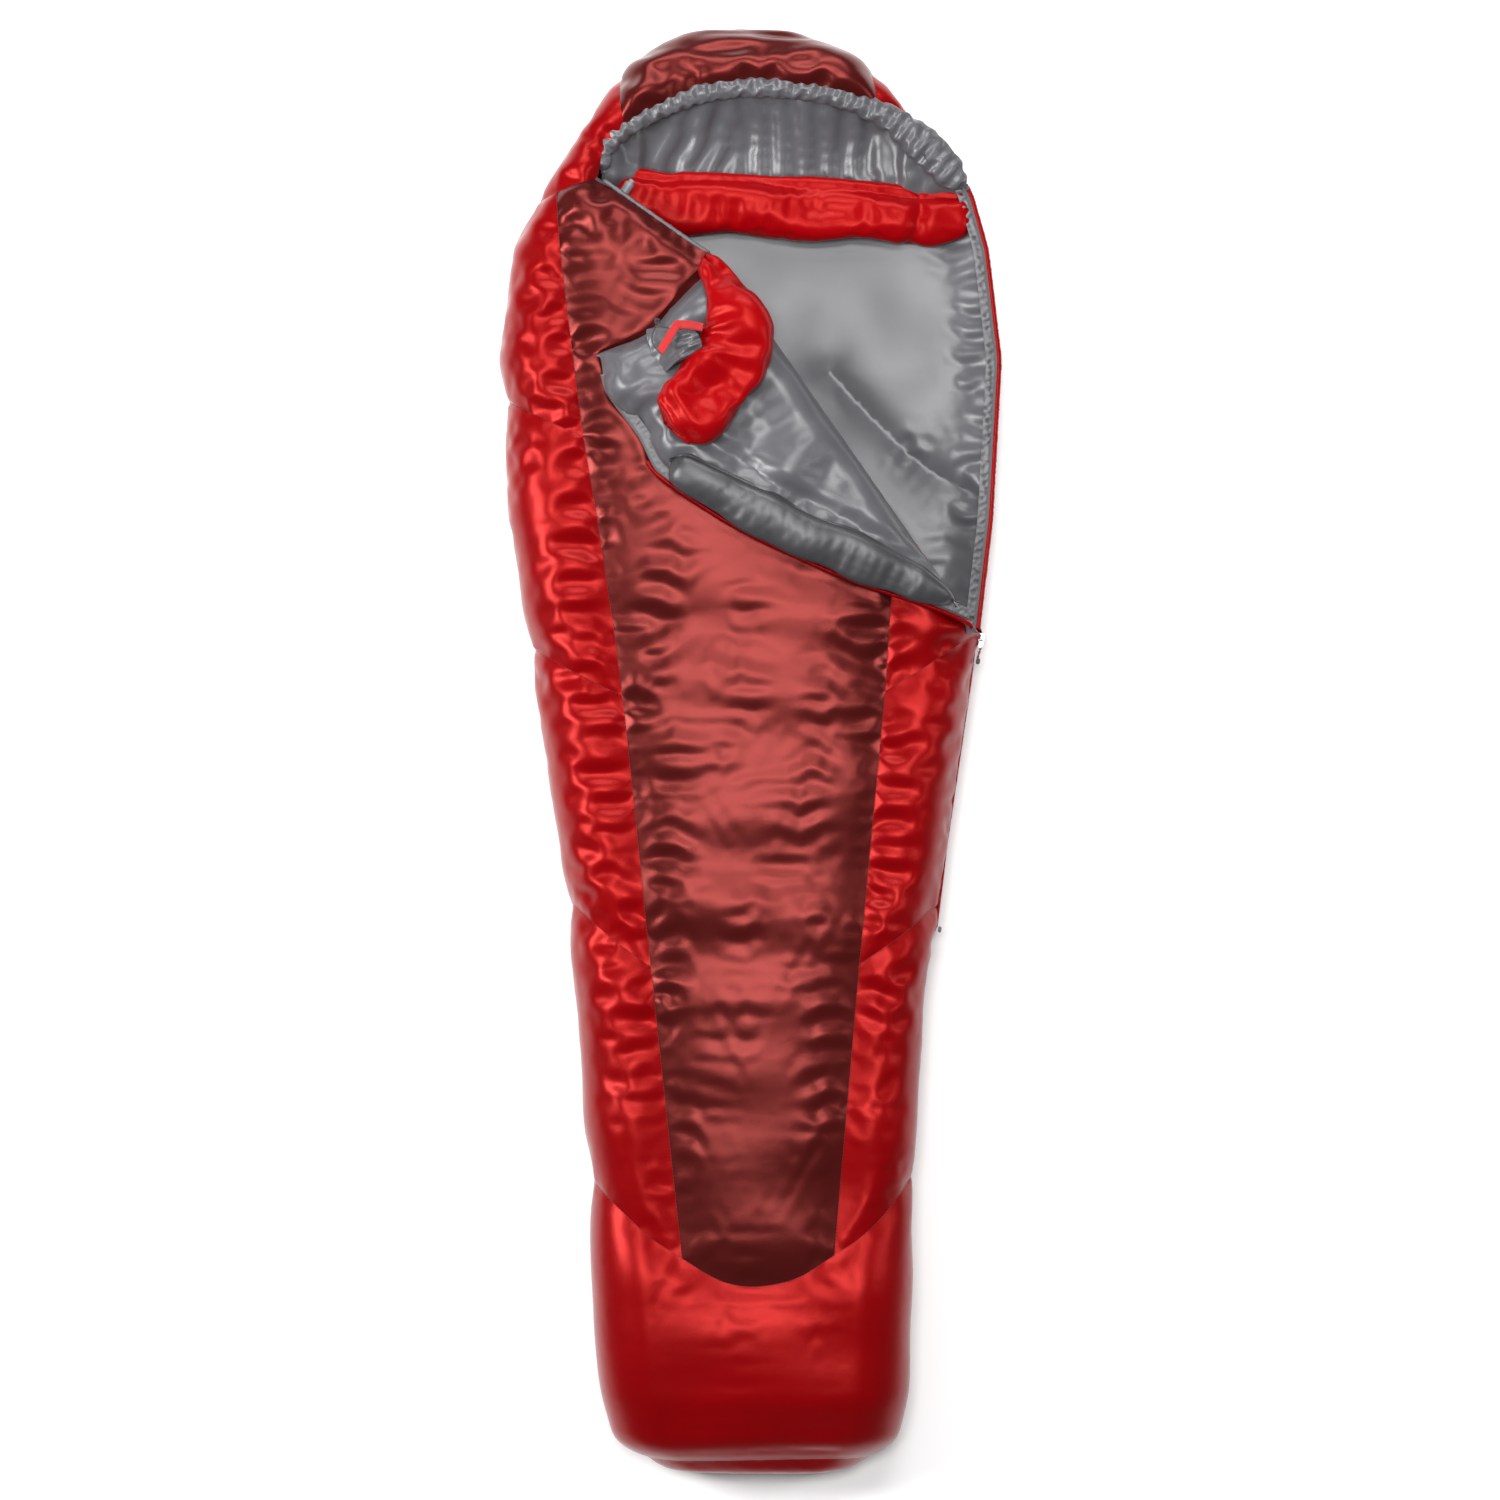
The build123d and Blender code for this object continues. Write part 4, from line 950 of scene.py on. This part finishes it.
def build_edges(materials):
    """Bindings, pipings, tapes and teeth along the edges and down the closed zip."""
    red, tape, coil = (materials[name] for name in ("red", "tape", "coil"))
    neck = dense([(-216, 838), *NECK_EDGE[1:3], (-58, 728)], 3) * MM
    binding = pipe("neck_edge_binding", np.column_stack([neck, BAG.top_at(neck) - 0.017]), 3.2 * MM,
                   materials["grey"], 0.10, 81)
    belong(binding, "bag", ("neck_binding",))
    edge = side_line(SLIDER_Y + SLIDER_GAP, 838, ZIP_Z + 1, 0.001, FINE)
    belong(pipe("side_piping", edge, 4.6 * MM, red, 0.04, 83), "bag", ())
    outer = side_line(SLIDER_Y + SLIDER_GAP, 850, ZIP_Z + 5, -0.004, FINE)
    inner = outer + [-0.014, 0, 0.003]
    piece = strip("side_zip_tape", inner, outer, tape, ripple=2.6 * MM, wave=0.016, seed=85)
    belong(piece, "bag", ("zip_tape_base",))
    piece = teeth("side_zip_teeth", outer + [0.001, 0, 0.002], TOOTH_SHIFT, coil)
    belong(piece, "bag", ("zip_coil_base",))
    closed = side_line(COIL_END_Y, SLIDER_Y - SLIDER_GAP, ZIP_Z, -0.0005, FINE)
    piece = teeth("closed_zip_teeth", closed, TOOTH_SHIFT, coil, size=(0.0016, 0.005, 0.005))
    belong(piece, "bag", ("zip_coil_closed",))
    low_y = SLIDER_Y - 12
    for level, name in ((5, "upper"), (-5, "lower")):
        line = side_line(COIL_END_Y - 6, low_y, ZIP_Z + level, -0.0005, FINE)
        belong(pipe(f"closed_zip_welt_{name}", line, 2.4 * MM, red, 0.04, 87 + level), "bag", ())
    rows = [side_line(COIL_END_Y, low_y, ZIP_Z + level, -0.0035, FINE) for level in (5, -5)]
    piece = strip("closed_zip_tape", *rows, tape, ripple=0.2 * MM, seed=89)
    belong(piece, "bag", ("zip_tape_closed",))

    def flap_line(distance, z, points=((-217, 548), FLAP_TIP[0], *ZIP_EDGE[::-1])):
        """A 3-D line beside the folded corner's zip edge, inwards by distance."""
        line = dense(inset(points, [-distance] * len(points)), 2.5) * MM
        return np.column_stack([line, z * MM + (BAG.top_at(line) - FLAP_REST) * 0.55])

    near, far = flap_line(16, 173), flap_line(2, 168)
    piece = strip("flap_zip_tape", resample(near, len(far)), far, tape, ripple=2.2 * MM, seed=91)
    belong(piece, "flap", ("zip_tape_flap",))
    piece = teeth("flap_zip_teeth", flap_line(0.5, 167), TOOTH_SHIFT, coil)
    belong(piece, "flap", ("zip_coil_flap",))
    piping = flap_line(-3.5, 167, [(-148, 425), *ZIP_EDGE[::-1][1:], (329, 180)])
    belong(pipe("flap_piping", piping, 3.4 * MM, red, 0.05, 93), "flap", ())


def resample(line, count):
    """The same line with another number of points."""
    return points_at(np.linspace(0, len(line) - 1, count), np.arange(len(line)), line)


def build_tab(materials):
    """The lining's tab beside the collar, lifted and rippled towards it."""
    across, along = np.meshgrid(np.linspace(0, 1, 34), np.linspace(0, 1, 30))
    lift = 1 / (1 + np.exp(-(across - 0.38) / 0.11))
    x = -146 + 72 * across + 5 * np.sin(along * 5)
    y = (530 + 38 * lift) + (82 - 38 * lift) * along + 3 * np.sin(across * 7)
    bulge = np.clip(1 - (2 * along - 1) ** 2, 0, 1) ** 0.35
    ripple = 2.6 * np.sin(along * 17 + across * 9) + 1.4 * np.sin(along * 31 - across * 12)
    z = 186 + (24 + 34 * bulge) * lift + ripple * (0.3 + 0.7 * lift) - 12 * np.clip(across - 0.85, 0, 1)
    piece = grid_piece("cloth_collar_tab", np.stack([x, y, z], axis=-1) * MM, materials["grey"])
    piece.modifiers.new("thickness", "SOLIDIFY").thickness = 1.6 * MM
    belong(piece, "flap", ("collar_tab",))


def build_pull(materials):
    """The webbing pull, with its cord loop and the knot that holds both of the loop's ends."""
    line = dense(WEBBING, 1.5, smooth=False) * MM + [0, 0, MM]
    _, side, _ = frames(line)
    half = side * WEBBING_WIDTH / 2 * MM
    piece = strip("webbing_pull", line - half, line + half, materials["webbing"], thick=1.4 * MM, rows=5)
    belong(piece, "collar_pull", ("pull_webbing",))
    curve = bpy.data.curves.new("cord_loop", "CURVE")
    curve.dimensions = "3D"
    spline = curve.splines.new("NURBS")
    spline.points.add(len(LOOP_ROUTE) - 1)
    for point, place in zip(spline.points, LOOP_ROUTE):
        point.co = (*[c * MM for c in place], 1)
    spline.order_u = 3
    spline.use_endpoint_u = True
    spline.resolution_u = 16
    curve.bevel_depth = LOOP_CORD / 2 * MM
    curve.bevel_resolution = 4
    loop = bpy.data.objects.new("cord_loop", curve)
    bpy.context.collection.objects.link(loop)
    curve.materials.append(materials["cord"])
    turn = np.linspace(0, 2 * math.pi, 60)
    out = 2 + np.cos(3 * turn)
    trefoil = np.column_stack([out * np.cos(2 * turn), out * np.sin(2 * turn), np.sin(3 * turn)])
    knot = pipe("cord_knot", trefoil * 1.3 * MM + np.array(KNOT) * MM, 1.1 * MM, materials["cord"], sides=8)
    belong(knot, "collar_pull", ("pull_knot",))
    belong(loop, "collar_pull", ("pull_cord",))


def build_spring(materials):
    """The lock's spring: a helix of wire along the lock's axis."""
    axis = np.array(LOCK_AXIS) / np.linalg.norm(LOCK_AXIS)
    side = np.array([axis[1], -axis[0], 0])
    start = np.array(LOCK_POINT) + axis * SPRING_START
    turn = np.linspace(0, 2 * math.pi * SPRING_HEIGHT / SPRING_PITCH, 90)[:, None]
    rise = turn / turn[-1] * SPRING_HEIGHT
    line = start + axis * rise + SPRING_RADIUS * (np.cos(turn) * side + np.sin(turn) * [0, 0, 1.0])
    piece = pipe("lock_spring", line * MM, SPRING_WIRE / 2 * MM, materials["steel"], sides=10)
    belong(piece, "bag", ("cord_lock_spring",))
    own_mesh(piece)


def build_puller(materials):
    """The slider's cord: two twisted strands from the link to the grip."""
    low, high = (np.array(corner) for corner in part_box("puller_cord"))
    start, end = high.copy(), low.copy()
    start[2] = end[2] = (low[2] + high[2]) / 2
    run = (end - start) / np.linalg.norm(end - start)
    side = np.array([run[1], -run[0], 0])
    at = np.linspace(-0.15, 1.1, 24)[:, None]
    twist = np.cos(at * 7) * side + np.sin(at * 7) * [0, 0, 1.0]
    for i, way in enumerate((-1, 1)):
        line = start + (end - start) * at + way * 0.9 * MM * twist
        strand = pipe(f"puller_strand_{i + 1}", line, 0.8 * MM, materials["strand"], sides=8)
        belong(strand, "puller", ("puller_cord",))


def build_stitches(cloth, materials):
    """Small stitches along the shell's main seams: each one a short bar with narrowed ends."""
    lines = [plan(LEFT_SEAM, step=STITCH_STEP), plan(RIGHT_SEAM, False, STITCH_STEP),
             plan(FOOT_SEAM, step=STITCH_STEP)]
    lines += [plan(line, False, STITCH_STEP) for line in (*LEFT_CROSS, *RIGHT_CROSS)]
    seam = cloth.on_line.nonzero()[0]
    tree = make_tree(cloth.uv[seam])
    corners = [(math.cos(turn), math.sin(turn)) for turn in np.arange(4) * math.pi / 2]
    bar = tube_faces(4, 4)
    co, faces = [], []
    for s, t in np.vstack(lines):
        near = tree.find_n((s, t, 0), 2)
        v = [seam[index] for _, index, _ in near]
        w = np.array([1 / (gap + 1e-6) for _, _, gap in near])
        normal = cloth.normal[v[0]]
        p = (cloth.co[v] * w[:, None]).sum(axis=0) / w.sum() + normal * 0.8 * MM
        along = cloth.co[v[1]] - cloth.co[v[0]]
        along /= np.linalg.norm(along) + 1e-9
        side = np.cross(normal, along)
        faces += [tuple(len(co) + k for k in face) for face in bar]
        for x, size in STITCH_SHAPE:
            co += [p + along * x * MM + (c * side + d * normal) * STITCH_WIDTH * size for c, d in corners]
    belong(mesh_piece("seam_stitches", co, faces, materials["thread"]), "bag", ())


# ---------------------------------------------------------------- materials
WAVE_SCALE = 0.314  # a wave texture's scale for bands one metre apart


def new_material(name, **inputs):
    """A new material, its node tree and its shader, with some of the shader's inputs set."""
    material = bpy.data.materials.new(name)
    material.use_nodes = True
    tree = material.node_tree
    shader = tree.nodes["Principled BSDF"]
    set_inputs(shader, inputs)
    return material, tree, shader


def set_inputs(node, inputs):
    """Sets a node's inputs by name, with _ for each space."""
    for name, value in inputs.items():
        node.inputs[name.replace("_", " ")].default_value = value


def add_node(tree, kind, **inputs):
    """A new node with some of its inputs set."""
    node = tree.nodes.new("ShaderNode" + kind)
    set_inputs(node, inputs)
    return node


def mottle(tree, shader, noise, colour, spread, ends):
    """Lets the base colour wander by spread about one colour."""
    ramp = add_node(tree, "ValToRGB")
    for element, place, way in zip(ramp.color_ramp.elements, ends, (-1, 1)):
        element.position = place
        element.color = (*[min(c * (1 + way * spread), 1) for c in colour], 1)
    tree.links.new(noise.outputs["Fac"], ramp.inputs["Fac"])
    tree.links.new(ramp.outputs["Color"], shader.inputs["Base Color"])


def emboss(tree, shader, height, strength, distance):
    """Bumps the surface by a height output."""
    relief = add_node(tree, "Bump", Strength=strength, Distance=distance)
    tree.links.new(height, relief.inputs["Height"])
    tree.links.new(relief.outputs["Normal"], shader.inputs["Normal"])


def nylon(name, colour, rough, gloss, tint=(1, 1, 1), weave=1.1 * MM, bump=0.06):
    """Satin woven cloth: a fine weave, slight unevenness in colour and a tinted gloss."""
    material, tree, shader = new_material(
        name, Roughness=rough, IOR=1.7, Specular_IOR_Level=gloss, Specular_Tint=(*tint, 1),
        Sheen_Weight=0.02, Sheen_Roughness=0.4, Sheen_Tint=(*tint, 1))
    place = add_node(tree, "TexCoord").outputs["Object"]
    cloud = add_node(tree, "TexNoise", Scale=7, Detail=4)
    tree.links.new(place, cloud.inputs["Vector"])
    mottle(tree, shader, cloud, colour, 0.08, (0.3, 0.7))
    threads = add_node(tree, "Math")
    threads.operation = "MAXIMUM"
    for i, axis in enumerate("XY"):
        wave = add_node(tree, "TexWave", Scale=WAVE_SCALE / weave, Distortion=0.6)
        wave.bands_direction = axis
        tree.links.new(place, wave.inputs["Vector"])
        tree.links.new(wave.outputs["Fac"], threads.inputs[i])
    fine = add_node(tree, "TexNoise", Scale=60, Detail=6)
    tree.links.new(place, fine.inputs["Vector"])
    blend = add_node(tree, "Math")
    blend.operation = "MULTIPLY_ADD"
    blend.inputs[1].default_value = 3.0
    tree.links.new(fine.outputs["Fac"], blend.inputs[0])
    tree.links.new(threads.outputs["Value"], blend.inputs[2])
    emboss(tree, shader, blend.outputs["Value"], bump, 1.5 * MM)
    return material


def hard(name, colour, rough, metal=0.0, grain=400, bump=0.05):
    """Metal, moulded plastic or cord: even, with a fine grain."""
    material, tree, shader = new_material(name, Roughness=rough, Metallic=metal)
    noise = add_node(tree, "TexNoise", Scale=grain, Detail=5)
    tree.links.new(add_node(tree, "TexCoord").outputs["Object"], noise.inputs["Vector"])
    mottle(tree, shader, noise, colour, 0.2, (0, 1))
    emboss(tree, shader, noise.outputs["Fac"], bump, 0.5 * MM)
    return material


def make_materials():
    """The cloths first, then the hardware, cords and thread."""
    return {
        "red": nylon("red_nylon", (0.158, 0.0001, 0.0012), 0.29, 0.48, tint=(1, 0.09, 0.08)),
        "collar": nylon("red_collar_nylon", (0.23, 0.0003, 0.0018), 0.29, 0.30, tint=(1, 0.12, 0.10)),
        "maroon": nylon("maroon_nylon", (0.036, 0.0030, 0.0028), 0.27, 0.40, tint=(1, 0.18, 0.16)),
        "grey": nylon("grey_lining", (0.074, 0.073, 0.080), 0.31, 0.26),
        "dark": nylon("dark_grey_lining", (0.028, 0.028, 0.031), 0.38, 0.34),
        "tape": nylon("grey_zip_tape", (0.13, 0.13, 0.138), 0.5, 0.4, weave=0.8 * MM, bump=0.3),
        "webbing": nylon("red_webbing", (0.5, 0.002, 0.005), 0.6, 0.4, weave=1.6 * MM, bump=0.6),
        # The zip coil's own dark nylon; the zip's bottom stop wears it too, as painted shade.
        "coil": hard("zip_coil_nylon", (0.05, 0.05, 0.055), 0.4),
        "thread": hard("seam_thread", (0.12, 0.008, 0.008), 0.7, grain=900),
        "cord": hard("grey_cord_braid", (0.03, 0.03, 0.033), 0.65, grain=900, bump=0.6),
        "strand": hard("maroon_cord_braid", (0.16, 0.02, 0.02), 0.65, grain=900, bump=0.6),
        "metal": hard("slider_metal", (0.30, 0.30, 0.32), 0.35, 0.9),
        "rubber": hard("grip_rubber", (0.03, 0.028, 0.03), 0.55),
        "plastic": hard("lock_plastic", (0.16, 0.16, 0.17), 0.4),
        "steel": hard("spring_steel", (0.55, 0.55, 0.56), 0.25, 1.0),
    }


CAD_FINISHES = {
    "metal": ("slider_body", "slider_lugs", "puller_link"),
    # The zip's bottom stop takes the dark coil finish as painted shade: it stands for the shadow under the
    # cloth welts that cover it.
    "coil": ("zip_bottom_stop",),
    "steel": ("slider_pin",),
    "rubber": ("puller_grip",),
    "plastic": ("cord_lock_body", "cord_lock_plunger"),
    "cord": ("hood_drawcord",),
}


def finish_cad_nodes(materials):
    """Gives the hardware that stays visible its finish."""
    for material, names in CAD_FINISHES.items():
        for name in names:
            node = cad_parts[name]
            for place in node.material_slots:
                place.material = materials[material]


# ---------------------------------------------------------------- stage
# Soft boxes that face the middle of the bag: (place, size, power).
SOFT_BOXES = {
    "overhead": ((-0.1, 0.65, 6.8), (2.2, 1.2), 235),
    "head": ((0.2, 2.3, 5.0), (1.6, 0.6), 70),
    "crown": ((0.1, 3.2, 2.0), (2.4, 1.0), 80),
    "key": ((-2.4, 0.25, 2.4), (0.9, 1.1), 105),
    "fill": ((2.6, 0.2, 2.4), (0.6, 1.6), 22),
}
FLOOR_Z = -0.001
SENSOR, CAMERA_DISTANCE = 36, 6.0
VIEW_WIDTH = 2.2215  # metres across the picture, at CAMERA_DISTANCE


def make_stage():
    """A plain pale floor, soft boxes of light and the camera, straight above."""
    paper, _, _ = new_material("floor_paper", Base_Color=(0.95, 0.95, 0.95, 1), Roughness=0.9)
    corners = [(x, y, FLOOR_Z) for x, y in ((-9, -9), (9, -9), (9, 9), (-9, 9))]
    mesh_piece("floor", corners, [(0, 1, 2, 3)], paper)
    scene = bpy.context.scene
    scene.view_settings.view_transform = "Standard"
    world = bpy.data.worlds.new("studio")
    world.use_nodes = True
    set_inputs(world.node_tree.nodes["Background"], {"Color": (1, 1, 1, 1), "Strength": 0.22})
    scene.world = world
    for name, (place, size, power) in SOFT_BOXES.items():
        light = bpy.data.lights.new(name, "AREA")
        light.shape = "RECTANGLE"
        light.size, light.size_y = size
        light.energy = power
        obj = bpy.data.objects.new(name, light)
        obj.location = place
        obj.rotation_euler = (-Vector(place)).to_track_quat("-Z", "Y").to_euler()
        bpy.context.collection.objects.link(obj)
    camera = bpy.data.cameras.new("camera")
    camera.sensor_width = SENSOR
    camera.lens = SENSOR * CAMERA_DISTANCE / VIEW_WIDTH
    view = bpy.data.objects.new("camera", camera)
    view.location = (0, 0, CAMERA_DISTANCE + 0.08)
    bpy.context.collection.objects.link(view)
    scene.camera = view


materials = make_materials()
make_stage()
shell = build_shell(materials)
for build in (build_underside, build_lining, build_neck_lining, build_fold, build_flap_shell, build_tubes,
              build_edges, build_tab, build_pull, build_spring, build_puller):
    build(materials)
build_stitches(shell, materials)
finish_cad_nodes(materials)
